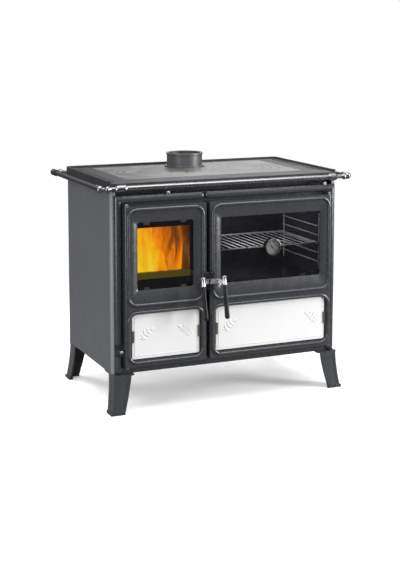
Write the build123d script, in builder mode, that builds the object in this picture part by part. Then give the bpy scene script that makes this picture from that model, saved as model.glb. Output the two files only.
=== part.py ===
from build123d import *
import os
from math import cos, radians, sin

# A free-standing wood cookstove: firebox and ash drawer on the left, oven on the right,
# a cast hob with a lift-out ring and lid over the fire, a flue collar, and chrome rails
# round the top. Millimetres. The origin is on the floor under the middle of the whole
# stove, +X is the user's right, -Y is towards the user and +Z is up.

os.makedirs("parts", exist_ok=True)

# ---------------------------------------------------------------- driving dimensions

# Body
body_width = 930
body_depth = 515
leg_height = 147
hob_height = 862            # top of the hob's rim above the floor
hob_thickness = 38
split_x = -97.5             # joint between the firebox front and the oven front
panel_sheet = 2
panel_corner = 15           # outer radius of a side panel's front edge
panel_front_return = 4      # flat of the front return, past the round edge
panel_back_return = 18
base_sheet = 3
base_flange = 20
back_sheet = 1.2
back_slot_length = 60
back_slot_width = 6
back_slot_pitch = 22

# Front castings
web = 6                     # thickness of a front casting
moulding_radius = 14.5      # half-round post and roll
moulding_inset = 24.5       # from the body's side to a post's centre line
casting_inset = 10          # from the body's side to a front casting's edge
roll_height = 794.5         # centre of the roll above the floor
fascia_setback = 25         # the strip above the roll stands this far behind the front
casting_joint = 2           # gap between the two front castings
mouth_corner = 12

# Doors: "proud" sizes are measured forward of the body's front
door_inset = 40             # from the body's side to a door's outer edge
door_gap = 15               # between the two doors
door_bottom = 178
door_top = 772
door_back_proud = 12
door_face_proud = 45
door_rim = 16               # solid rim round a door's hollow back
door_hollow_proud = 30      # floor of the hollow back
bead_radius = 6
bead_inset = 6              # from a door's edge to its bead
bead_corner = 40
tile_bead_bottom = 186
tile_bead_top = 386
window_bead_bottom = 401
window_bead_top = 766
dish_stations = (0.3, 0.55, 0.8)  # where the surround of a window bends, from bead to lip
dish_lip_proud = 37
glass_proud = 34
glass_thickness = 4
glass_overlap = 12          # how far a glass runs past its window on each side
glass_clearance = 2
window_bottom = 461
window_top = 711
window_corner = 9
firebox_window_width = 222
oven_window_width = 420
glass_clip_width = 24
glass_clip_sheet = 2
glass_clip_show = 9         # how far a clip shows inside the window
gasket_groove = 7
gasket_groove_depth = 3
gasket_clearance = 0.2
gasket_lift = 0.6           # gap between a door's rope seal and the front casting
tile_inset = 25             # from a door's edge to its tile
tile_gap = 3                # shadow gap round a tile
tile_bottom = 205
tile_top = 376
tile_thickness = 7
tile_corner = 8
tile_clip_height = 44
tile_clip_width = 10
tile_clip_sheet = 1.5

# Hinges
pin_radius = 4
pin_setback = 9             # from a door's face and from its edge to the hinge axis
pin_engagement = 20
pin_head_radius = 5.5
pin_head_height = 2.2
lug_thickness = 5
lug_gap = 2                 # between a lug and the door
running_clearance = 0.05

# Handles and their catch
pivot_offset = 9.5          # from the joint between the doors to a lever's pin
pivot_proud = 56
fork_width = 19.2
fork_clearance = 0.8        # from the joint between the doors to a fork
fork_bottom = 446
fork_top = 512
fork_proud = 64
fork_web = 2.7
slot_bottom = 466.5
slot_top = 487.5
lever_play = 0.5            # above and below a lever in its fork
hub_radius = 7.5
handle_reach = 44           # from a lever's pin forward to its grip
handle_spread = 33.5        # from a lever's pin sideways to its grip
arm_thickness = 9
cap_bottom = 468
cap_height = 33
cap_radius = 8.8
cap_waist = 7.2
grip_length = 126
grip_top_radius = 6.8
grip_end_radius = 9.5
grip_tilt = 11
tail_length = 24
tail_thickness = 5
keeper_head = 12
keeper_head_depth = 4
keeper_stem = 6
keeper_proud = 41
keeper_clearance = 0.5      # between the keeper's head and a lever's tooth
latch_notch = 16            # depth of the notch in each door's edge

# Hob
hob_side_overhang = 4
hob_front_overhang = 10
hob_back_overhang = 18
hob_corner = 22
rim_height = 8
rim_width = 9
rim_front_stop = 20         # the rim leaves the front of the hob open
rim_post_radius = 8         # round end of the rim at each front corner
rim_post_rise = 1.5
hob_skirt = 8
plate_half_width = 370
plate_front_margin = 107    # from the hob's front edge to the plate
plate_back_margin = 40
plate_corner = 14
plate_thickness = 10
plate_ledge = 10
plate_ledge_thickness = 6
plate_clearance = 1
zone_x = 186                # cooking zones, either side of the middle
zone_shift = 15             # behind the middle between the plate's front edge and the flue
ring_radius = 122
lid_radius = 66
ring_step = 7               # width of the rebate that carries the ring or the lid
ring_clearance = 1
groove_width = 2            # turned grooves that mark the cooking zones
groove_depth = 0.8
fire_zone_grooves = (130, 150)
oven_zone_grooves = (60, 90, 120, 150)
lid_slot_length = 26
lid_slot_width = 9
flue_x = -5
flue_inset = 126            # from the hob's rear edge
flue_bore = 66              # radius of the socket for the flue pipe
flue_wall = 5.5
flue_height = 57
flue_flange_radius = 80
flue_flange_thickness = 6
flue_throat = 60
flue_seat = 2               # depth of the collar's seat in the plate
flue_stop = 3
flue_lip = 2
lip_height = 7

# Rails
rail_radius = 9.5
rail_wall = 1.5
rail_drop = 24              # from the hob's rim down to the rails' axis
front_rail_gap = 9          # between the hob's front edge and the front rail
side_rail_gap = 31.5
ball_radius = 13.5
boss_radius = 12
boss_offset = 15.5          # from the hob's side out to a corner boss
ferrule_radius = 13.5
ferrule_length = 38
ferrule_start = 33          # from a corner boss in to its ferrule
socket_depth = 10
bell_length = 22
bell_neck = 10.5
bell_mouth = 13
neck_radius = 6
lug_radius = 7
front_ball_reach = 12.5     # from the body's front forward to the front balls
rear_ball_reach = 38.5      # from the body's back to the rear balls
rear_boss_gap = 13.5        # from the hob's back edge to the rear bosses

# Legs
leg_inset = 2.5             # from the body's side to a leg's outer face, at the top
leg_width_top = 68
leg_depth_top = 60
leg_width_foot = 52
leg_depth_foot = 52
leg_splay = 15              # how far a leg spreads sideways on its way down
leg_kick = 14               # how far it reaches forward or backward
leg_curve = 1.6
leg_wall = 7
leg_flange = 6
leg_flange_width = 80
leg_border = 9              # raised border of the panel on a leg's front
leg_panel_depth = 1.6
foot_lip = 3
foot_height = 11
foot_wall = 13              # width of the two arms that a leg stands on
hollow_past = 14            # how far the hollow is cut past the leg's two inner edges
leg_bolt_radius = 4
leg_bolt_clearance = 0.25
leg_bolt_near = 20          # from the leg's outer corner, across the flange
leg_bolt_far = 66           # from the leg's outer corner, along the flange
bolt_head_radius = 7
bolt_head_height = 5.3

# Firebox and ash chamber
lining = 28
firebox_left = -385
firebox_right = -145
smoke_space = 113           # behind the firebox casing
lining_top = 760
casing_sheet = 4
casing_top = 790
firebox_mouth_bottom = 440
upper_mouth_top = 735
lower_mouth_bottom = 195
lower_mouth_top = 370
firebox_floor_top = 432
firebox_floor_thickness = 12
casing_ledge = 12
grate_width = 160
grate_setback = 70
grate_rear_margin = 60      # from the grate to the rear lining
grate_thickness = 7
grate_rebate = 8
grate_clearance = 1
grate_slot_width = 9
grate_slot_pitch = 18
drawer_sheet = 1.5
drawer_side_gap = 13
drawer_height = 105
drawer_setback = 6
drawer_rear_space = 22
seat_gap = 0.3

# Oven
oven_left = -58
oven_right = 408
oven_bottom = 445
oven_depth = 400
oven_sheet = 2
oven_flange = 12
wire_radius = 2.5
runner_levels = (500, 535, 570, 605, 640)
runner_foot = 470
runner_head = 690
runner_length = 300
runner_setback = 20
rung_offset = 4             # the rungs are welded to the inner side of the uprights
shelf_level = 570
shelf_wire = 1.8
shelf_frame_wire = 3
shelf_side_gap = 9.5
shelf_frame_corner = 10
shelf_bars = 15
duct_floor_top = 395

# Thermometer
thermometer_radius = 33
thermometer_proud = 57
thermometer_bore = 29.5
thermometer_stem = 4
thermometer_washer = 9
washer_thickness = 2
thermometer_tail = 8        # the stem's end stands this far behind the glass
dial_sheet = 1.2
dial_proud = 41.2
needle_proud = 43
needle_rest = -35           # degrees from straight up, clockwise as the user sees it
needle_length = 22
needle_tail = 9
needle_waist = 1.2
needle_tail_width = 2.6
needle_lift = 0.3           # between the hub and the dial
needle_sheet = 0.8
needle_hub = 2.5
lens_proud = 54
lens_thickness = 2
lens_clearance = 0.2

# Air and smoke controls
rod_radius = 3
rod_clearance = 0.08
knob_radius = 6
knob_length = 12
knob_proud = 46
rod_height = 816
bypass_x = 393
bypass_length = 300
bypass_plate_width = 110
bypass_plate_depth = 120
secondary_x = -256
secondary_setback = 65
secondary_plate_width = 70
primary_inset = 24          # from the body's side to the slide's axis
primary_height = 238
primary_setback = 50
primary_disc = 12
primary_recess = 48
control_sheet = 2

# ---------------------------------------------------------------- derived places

half_width = body_width / 2
body_top = hob_height - hob_thickness
hob_surface = hob_height - rim_height
rail_height = hob_height - rail_drop
roll_top = roll_height + moulding_radius

grip_reach = (grip_length - grip_end_radius) * sin(radians(grip_tilt)) + grip_end_radius
front_reach = pivot_proud + handle_reach + grip_reach
back_reach = rear_ball_reach + ball_radius
front_y = (front_reach - body_depth - back_reach) / 2
back_y = front_y + body_depth

firebox_door_right = split_x - door_gap / 2
oven_door_left = split_x + door_gap / 2
door_outer = half_width - door_inset
hinge_x = door_outer - pin_setback
hinge_y = front_y - door_face_proud + pin_setback
pivot_y = front_y - pivot_proud
post_x = half_width - moulding_inset
primary_x = primary_inset - half_width
panel_return_x = half_width - panel_corner - panel_front_return
tray_half = half_width - panel_sheet
hob_half = half_width + hob_side_overhang
hob_front = front_y - hob_front_overhang
hob_back = back_y + hob_back_overhang
plate_front = hob_front + plate_front_margin
plate_back = hob_back - plate_back_margin
plate_bottom = hob_surface - plate_thickness
flue_y = hob_back - flue_inset
zone_y = (plate_front + flue_y) / 2 + zone_shift
tile_proud = door_face_proud - 11
casing_left = firebox_left - lining
casing_right = firebox_right + lining
ash_floor_top = lower_mouth_bottom - 1


def face(proud):
    """The plane that faces the user, so many mm in front of the body's front."""
    return Plane.XZ.offset(proud - front_y)


def level(height):
    """The horizontal plane at this height above the floor."""
    return Plane.XY.offset(height)


def block(x, y, z, mode=Mode.ADD):
    """A rectangular block between the two values given for each axis."""
    with Locations(((x[0] + x[1]) / 2, (y[0] + y[1]) / 2, (z[0] + z[1]) / 2)):
        Box(abs(x[1] - x[0]), abs(y[1] - y[0]), abs(z[1] - z[0]), mode=mode)


def rod_between(start, end, radius, mode=Mode.ADD):
    """A round rod from one point to the other."""
    run = Vector(*end) - Vector(*start)
    with Locations(Plane(origin=start, z_dir=run)):
        Cylinder(radius, run.length, align=(Align.CENTER, Align.CENTER, Align.MIN), mode=mode)


def panel_outline(x, z, corner=0, mode=Mode.ADD):
    """A rectangle on a plane that faces the user, between two x and two z values."""
    with Locations(((x[0] + x[1]) / 2, (z[0] + z[1]) / 2)):
        if corner:
            RectangleRounded(abs(x[1] - x[0]), abs(z[1] - z[0]), corner, mode=mode)
        else:
            Rectangle(abs(x[1] - x[0]), abs(z[1] - z[0]), mode=mode)


# ---------------------------------------------------------------- body shell

# Folded floor tray, drilled over each leg
leg_corner_x = half_width - 1
leg_corners = {
    "front_left_leg": (-1, -1),
    "front_right_leg": (1, -1),
    "rear_left_leg": (-1, 1),
    "rear_right_leg": (1, 1),
}


def leg_corner(side, end):
    """The outer corner of a leg's flange: side is -1 or 1 for left or right, end for front or rear."""
    return side * leg_corner_x, (front_y + 1 if end < 0 else back_y - 1)


leg_bolt_places = []
for side, end in leg_corners.values():
    corner_x, corner_y = leg_corner(side, end)
    for along, across in ((leg_bolt_far, leg_bolt_near + 12), (leg_bolt_near + 12, leg_bolt_far)):
        leg_bolt_places.append((corner_x - side * along, corner_y - end * across))

tray_front = front_y + panel_sheet
tray_back = back_y - panel_sheet - back_sheet
with BuildPart() as base_plate:
    block((-tray_half, tray_half), (tray_front, tray_back), (leg_height, leg_height + base_flange))
    fillet(base_plate.edges().filter_by(Axis.Z).group_by(Axis.Y)[0], panel_corner - panel_sheet)
    block(
        (base_sheet - tray_half, tray_half - base_sheet),
        (tray_front - 1, tray_back - base_sheet),
        (leg_height + base_sheet, leg_height + base_flange),
        Mode.SUBTRACT,
    )
    block(
        (1 - panel_return_x, panel_return_x - 1),
        (front_y, tray_front + 1),
        (leg_height, leg_height + base_sheet),
    )
    with BuildSketch(level(leg_height)):
        with Locations(*leg_bolt_places):
            Circle(leg_bolt_radius + leg_bolt_clearance)
    extrude(amount=base_sheet, mode=Mode.SUBTRACT)
base_plate.part.label = "base_plate"
export_step(base_plate.part, "parts/base_plate.step")

# Side panels: one bent sheet each, with a round front edge and a return at front and back
for side, panel_name in ((-1, "left_side_panel"), (1, "right_side_panel")):
    middle_x = half_width - panel_sheet / 2
    with BuildPart() as side_panel:
        with BuildSketch(level(leg_height)):
            with BuildLine():
                FilletPolyline(
                    (side * panel_return_x, front_y + panel_sheet / 2),
                    (side * middle_x, front_y + panel_sheet / 2),
                    (side * middle_x, back_y - panel_sheet / 2),
                    (side * (half_width - panel_back_return), back_y - panel_sheet / 2),
                    radius=[panel_corner - panel_sheet / 2, panel_sheet],
                )
            trace(line_width=panel_sheet)
        extrude(amount=body_top - leg_height)
    side_panel.part.label = panel_name
    export_step(side_panel.part, f"parts/{panel_name}.step")

# Back panel: a flat sheet with two fields of cooling slots, on the side panels' returns
with BuildPart() as back_panel:
    with BuildSketch(Plane.XZ.offset(panel_sheet - back_y)):
        panel_outline((1 - tray_half, tray_half - 1), (leg_height + base_flange + 1, body_top - 1))
        for field_x in (-half_width / 2, half_width / 2):
            with Locations((field_x, roll_height - 130)):
                with GridLocations(back_slot_length + 20, back_slot_pitch, 3, 5):
                    SlotOverall(back_slot_length, back_slot_width, mode=Mode.SUBTRACT)
    extrude(amount=back_sheet)
back_panel.part.label = "back_panel"
export_step(back_panel.part, "parts/back_panel.step")

# ---------------------------------------------------------------- front castings


def front_casting(side, mouth_x, rod_x):
    """One cast front: flat web, half-round post and roll, hinge lugs, two mouths, fascia."""
    inner_edge = split_x + side * casting_joint / 2
    outer_edge = side * (half_width - casting_inset)
    fascia_edge = side * (panel_return_x - 1)
    roll_end = inner_edge + side * moulding_radius
    with BuildPart() as moulding:
        with BuildLine(face(web)):
            Polyline(
                (side * post_x, leg_height + moulding_radius),
                (side * post_x, roll_height),
                (roll_end, roll_height),
            )
        with BuildSketch(level(leg_height + moulding_radius)):
            with Locations((side * post_x, front_y - web)):
                Circle(moulding_radius)
        sweep(transition=Transition.RIGHT)
        with Locations(
            (side * post_x, front_y - web, leg_height + moulding_radius),
            (roll_end, front_y - web, roll_height),
        ):
            Sphere(moulding_radius)
        split(bisect_by=face(web))
    with BuildPart() as casting:
        with BuildSketch(face(0)):
            panel_outline((outer_edge, inner_edge), (leg_height, roll_top))
            panel_outline(mouth_x, (lower_mouth_bottom, lower_mouth_top), mouth_corner, Mode.SUBTRACT)
            panel_outline(mouth_x, (firebox_mouth_bottom, upper_mouth_top), mouth_corner, Mode.SUBTRACT)
        extrude(amount=web)
        add(moulding.part)
        # ledge over the roll and the set-back strip above it
        block((fascia_edge, inner_edge), (front_y, front_y + fascia_setback), (roll_top - web, roll_top))
        block(
            (fascia_edge, inner_edge),
            (front_y + fascia_setback, front_y + fascia_setback + web),
            (roll_top - web, body_top),
        )
        with BuildSketch(Plane.XZ.offset(-front_y - fascia_setback)):
            with Locations((rod_x, rod_height)):
                Circle(rod_radius + rod_clearance)
        extrude(amount=-web, mode=Mode.SUBTRACT)
        # hinge lugs above and below the door
        for lug_bottom in (door_top + lug_gap, door_bottom - lug_gap - lug_thickness):
            with BuildSketch(level(lug_bottom)):
                with Locations((side * hinge_x, (front_y - web + hinge_y) / 2)):
                    Rectangle(2 * pin_setback, abs(hinge_y - front_y + web))
                with Locations((side * hinge_x, hinge_y)):
                    Circle(pin_setback)
                    Circle(pin_radius + running_clearance, mode=Mode.SUBTRACT)
            extrude(amount=lug_thickness)
    return casting


plain_front = front_casting(-1, (firebox_left, firebox_right), secondary_x)
with BuildPart() as firebox_front:
    add(plain_front.part)
    # flat square in the post, with the hole for the primary air rod
    block(
        (primary_x - moulding_radius - 2, primary_x + moulding_radius + 2),
        (front_y - web - moulding_radius, front_y - web),
        (primary_height - primary_recess / 2, primary_height + primary_recess / 2),
        Mode.SUBTRACT,
    )
    with BuildSketch(face(0)):
        with Locations((primary_x, primary_height)):
            Circle(rod_radius + rod_clearance)
    extrude(amount=web, mode=Mode.SUBTRACT)
firebox_front.part.label = "firebox_front"
export_step(firebox_front.part, "parts/firebox_front.step")

oven_front = front_casting(1, (oven_left, oven_right), bypass_x)
oven_front.part.label = "oven_front"
export_step(oven_front.part, "parts/oven_front.step")

# Hinge pins: headed, dropped through the upper lugs and pushed up through the lower ones
with BuildPart() as hinge_pins:
    for side in (-1, 1):
        for lug_face, toward in (
            (door_top + lug_gap + lug_thickness, -1),
            (door_bottom - lug_gap - lug_thickness, 1),
        ):
            with BuildSketch(level(lug_face)):
                with Locations((side * hinge_x, hinge_y)):
                    Circle(pin_radius)
            extrude(amount=toward * (lug_thickness + lug_gap + pin_engagement))
            with BuildSketch(level(lug_face)):
                with Locations((side * hinge_x, hinge_y)):
                    Circle(pin_head_radius)
            extrude(amount=-toward * pin_head_height, taper=25)
hinge_pins.part.label = "hinge_pins"
export_step(hinge_pins.part, "parts/hinge_pins.step")

# Keeper between the doors, with a T head that the two handles catch behind
with BuildPart() as door_keeper:
    keeper_middle = (slot_bottom + slot_top) / 2
    block(
        (split_x - 10, split_x + 10),
        (front_y - web - 4, front_y - web),
        (keeper_middle - 27, keeper_middle + 27),
    )
    block(
        (split_x - keeper_stem / 2, split_x + keeper_stem / 2),
        (front_y - keeper_proud, front_y - web),
        (slot_bottom - 2, slot_top + 2),
    )
    block(
        (split_x - keeper_head / 2, split_x + keeper_head / 2),
        (front_y - keeper_proud, front_y - keeper_proud + keeper_head_depth),
        (slot_bottom - 2, slot_top + 2),
    )
    fillet(door_keeper.edges().filter_by(Axis.Z).group_by(Axis.Y)[0], keeper_head_depth / 2 - 0.2)
door_keeper.part.label = "door_keeper"
export_step(door_keeper.part, "parts/door_keeper.step")

# ---------------------------------------------------------------- doors


def bead(x, z):
    """A half-round bead on a door's face, running round a rounded rectangle."""
    with BuildPart() as ring:
        with BuildSketch(face(door_face_proud)):
            panel_outline(x, z, bead_corner)
            inner_x = (x[0] + 2 * bead_radius, x[1] - 2 * bead_radius)
            inner_z = (z[0] + 2 * bead_radius, z[1] - 2 * bead_radius)
            panel_outline(inner_x, inner_z, bead_corner - 2 * bead_radius, Mode.SUBTRACT)
        extrude(amount=bead_radius)
        fillet(ring.faces().sort_by(Axis.Y)[0].edges(), bead_radius - 0.1)
    return ring


def door_casting(left, right, hinge_side, window_width):
    """One cast door: two beaded panels, a dished window, a tile recess and a hollow back."""
    middle = (left + right) / 2
    bead_x = (left + bead_inset, right - bead_inset)
    dish_x = (bead_x[0] + 2 * bead_radius, bead_x[1] - 2 * bead_radius)
    dish_z = (window_bead_bottom + 2 * bead_radius, window_bead_top - 2 * bead_radius)
    window_x = (middle - window_width / 2, middle + window_width / 2)
    window_z = (window_bottom, window_top)
    dish_corner = bead_corner - 2 * bead_radius
    inner_edge = right if hinge_side < 0 else left
    window_bead = bead(bead_x, (window_bead_bottom, window_bead_top))
    tile_bead = bead(bead_x, (tile_bead_bottom, tile_bead_top))
    with BuildPart() as door:
        with BuildSketch(face(door_back_proud)):
            panel_outline((left, right), (door_bottom, door_top))
        extrude(amount=door_face_proud - door_back_proud)
        hinge_group = 0 if hinge_side < 0 else -1
        knuckle = door.edges().filter_by(Axis.Z).group_by(Axis.X)[hinge_group].sort_by(Axis.Y)[0]
        fillet(knuckle, pin_setback - 0.5)
        add(window_bead.part)
        add(tile_bead.part)
        # surround that rolls from the bead down to the window's lip, ever steeper
        for share in (0, *dish_stations, 1):
            with BuildSketch(face(door_face_proud + (dish_lip_proud - door_face_proud) * share**2)):
                panel_outline(
                    tuple(a + (b - a) * share for a, b in zip(dish_x, window_x)),
                    tuple(a + (b - a) * share for a, b in zip(dish_z, window_z)),
                    dish_corner + (window_corner - dish_corner) * share,
                )
        loft(ruled=True, mode=Mode.SUBTRACT)
        with BuildSketch(face(dish_lip_proud)):
            panel_outline(window_x, window_z, window_corner)
        extrude(amount=door_back_proud - dish_lip_proud, mode=Mode.SUBTRACT)
        # recess for the tile
        with BuildSketch(face(tile_proud)):
            panel_outline(
                (left + tile_inset - tile_gap, right - tile_inset + tile_gap),
                (tile_bottom - tile_gap, tile_top + tile_gap),
                tile_corner + tile_gap,
            )
        extrude(amount=door_face_proud - tile_proud, mode=Mode.SUBTRACT)
        # hollow back, and the deeper seat of the glass
        with BuildSketch(face(door_back_proud)):
            panel_outline(
                (left + door_rim, right - door_rim),
                (door_bottom + door_rim, door_top - door_rim),
                mouth_corner,
            )
        extrude(amount=door_hollow_proud - door_back_proud, mode=Mode.SUBTRACT)
        glass_margin = glass_overlap + glass_clearance
        with BuildSketch(face(door_back_proud)):
            panel_outline(
                (window_x[0] - glass_margin, window_x[1] + glass_margin),
                (window_bottom - glass_margin, window_top + glass_margin),
                glass_clearance + 2,
            )
        extrude(amount=glass_proud - door_back_proud, mode=Mode.SUBTRACT)
        # groove for the rope seal
        groove_outer = door_rim / 2 - gasket_groove / 2
        groove_inner = door_rim / 2 + gasket_groove / 2
        with BuildSketch(face(door_back_proud)):
            panel_outline(
                (left + groove_outer, right - groove_outer),
                (door_bottom + groove_outer, door_top - groove_outer),
                mouth_corner + gasket_groove / 2,
            )
            panel_outline(
                (left + groove_inner, right - groove_inner),
                (door_bottom + groove_inner, door_top - groove_inner),
                mouth_corner - gasket_groove / 2,
                Mode.SUBTRACT,
            )
        extrude(amount=gasket_groove_depth, mode=Mode.SUBTRACT)
        # blind bores for the hinge pins
        for edge, toward in ((door_top, -1), (door_bottom, 1)):
            with BuildSketch(level(edge)):
                with Locations((hinge_side * hinge_x, hinge_y)):
                    Circle(pin_radius + running_clearance)
            extrude(amount=toward * (pin_engagement - lug_gap + 3), mode=Mode.SUBTRACT)
        # flat landing for the handle's fork, and the notch that its tail swings in
        block(
            (inner_edge, split_x + hinge_side * (fork_clearance + fork_width + 0.5)),
            (front_y - door_face_proud - bead_radius, front_y - door_face_proud),
            (fork_bottom - 0.5, fork_top + 0.5),
            Mode.SUBTRACT,
        )
        block(
            (inner_edge, inner_edge + hinge_side * latch_notch),
            (front_y - door_face_proud, front_y - door_back_proud),
            (slot_bottom - 2, slot_top + 2),
            Mode.SUBTRACT,
        )
    return door


def door_seal(left, right):
    """The rope seal in a door's groove, standing out to meet the front casting."""
    outer = door_rim / 2 - gasket_groove / 2 + gasket_clearance
    inner = door_rim / 2 + gasket_groove / 2 - gasket_clearance
    seal_front = door_back_proud + gasket_groove_depth - gasket_clearance
    seal_back = web + gasket_lift
    with BuildPart() as seal:
        with BuildSketch(face(seal_back)):
            panel_outline(
                (left + outer, right - outer),
                (door_bottom + outer, door_top - outer),
                mouth_corner + gasket_groove / 2 - gasket_clearance,
            )
            panel_outline(
                (left + inner, right - inner),
                (door_bottom + inner, door_top - inner),
                mouth_corner - gasket_groove / 2 + gasket_clearance,
                Mode.SUBTRACT,
            )
        extrude(amount=seal_front - seal_back)
        fillet(seal.faces().sort_by(Axis.Y)[-1].edges(), gasket_groove / 2 - gasket_clearance - 0.4)
    return seal


def door_glass(middle, window_width, hole_radius=0):
    """A ceramic glass pane, seated behind its window's lip."""
    reach = window_width / 2 + glass_overlap
    with BuildPart() as glass:
        with BuildSketch(face(glass_proud - glass_thickness)):
            panel_outline(
                (middle - reach, middle + reach),
                (window_bottom - glass_overlap, window_top + glass_overlap),
                glass_clearance,
            )
            if hole_radius:
                with Locations((middle, (window_bottom + window_top) / 2)):
                    Circle(hole_radius, mode=Mode.SUBTRACT)
        extrude(amount=glass_thickness)
    return glass


def glass_clips(middle, window_width):
    """Four spring clips that hold a pane from behind, two at the top and two at the bottom."""
    with BuildPart() as clips:
        with BuildSketch(face(door_hollow_proud - glass_clip_sheet)):
            for side in (-1, 1):
                clip_x = middle + side * window_width * 0.33
                span_x = (clip_x - glass_clip_width / 2, clip_x + glass_clip_width / 2)
                glass_edge = glass_overlap + glass_clearance + 12
                panel_outline(span_x, (window_top - glass_clip_show, window_top + glass_edge), 2)
                panel_outline(span_x, (window_bottom - glass_edge, window_bottom + glass_clip_show), 2)
        extrude(amount=glass_clip_sheet)
    return clips


def door_tile(left, right):
    """A glazed tile with softened front edges."""
    with BuildPart() as tile:
        with BuildSketch(face(tile_proud)):
            panel_outline((left + tile_inset, right - tile_inset), (tile_bottom, tile_top), tile_corner)
        extrude(amount=tile_thickness)
        fillet(tile.faces().sort_by(Axis.Y)[0].edges(), 1.5)
    return tile


def tile_clips(left, right):
    """Two bent clips that hold a tile by its short sides."""
    clip_middle = (tile_bottom + tile_top) / 2
    clip_z = (clip_middle - tile_clip_height / 2, clip_middle + tile_clip_height / 2)
    clip_back = front_y - tile_proud
    clip_face = clip_back - tile_thickness - seat_gap
    with BuildPart() as clips:
        for edge, toward in ((left + tile_inset, 1), (right - tile_inset, -1)):
            outer = edge - toward * (seat_gap + tile_clip_sheet)
            clip_front = clip_face - tile_clip_sheet
            block((outer, outer + toward * tile_clip_sheet), (clip_front, clip_back), clip_z)
            block((outer, outer + toward * tile_clip_width), (clip_front, clip_face), clip_z)
    return clips


door_spans = {
    "firebox": (-door_outer, firebox_door_right, -1, firebox_window_width),
    "oven": (oven_door_left, door_outer, 1, oven_window_width),
}
for room, (left, right, hinge_side, window_width) in door_spans.items():
    middle = (left + right) / 2
    door = door_casting(left, right, hinge_side, window_width)
    door.part.label = f"{room}_door"
    export_step(door.part, f"parts/{room}_door.step")
    seal = door_seal(left, right)
    seal.part.label = f"{room}_door_seal"
    export_step(seal.part, f"parts/{room}_door_seal.step")
    stem_hole = thermometer_stem + 0.5 if room == "oven" else 0
    glass = door_glass(middle, window_width, stem_hole)
    glass.part.label = f"{room}_glass"
    export_step(glass.part, f"parts/{room}_glass.step")
    clips = glass_clips(middle, window_width)
    clips.part.label = f"{room}_glass_clips"
    export_step(clips.part, f"parts/{room}_glass_clips.step")
    tile = door_tile(left, right)
    tile.part.label = f"{room}_tile"
    export_step(tile.part, f"parts/{room}_tile.step")
    holders = tile_clips(left, right)
    holders.part.label = f"{room}_tile_clips"
    export_step(holders.part, f"parts/{room}_tile_clips.step")

# ---------------------------------------------------------------- door handles

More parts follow.
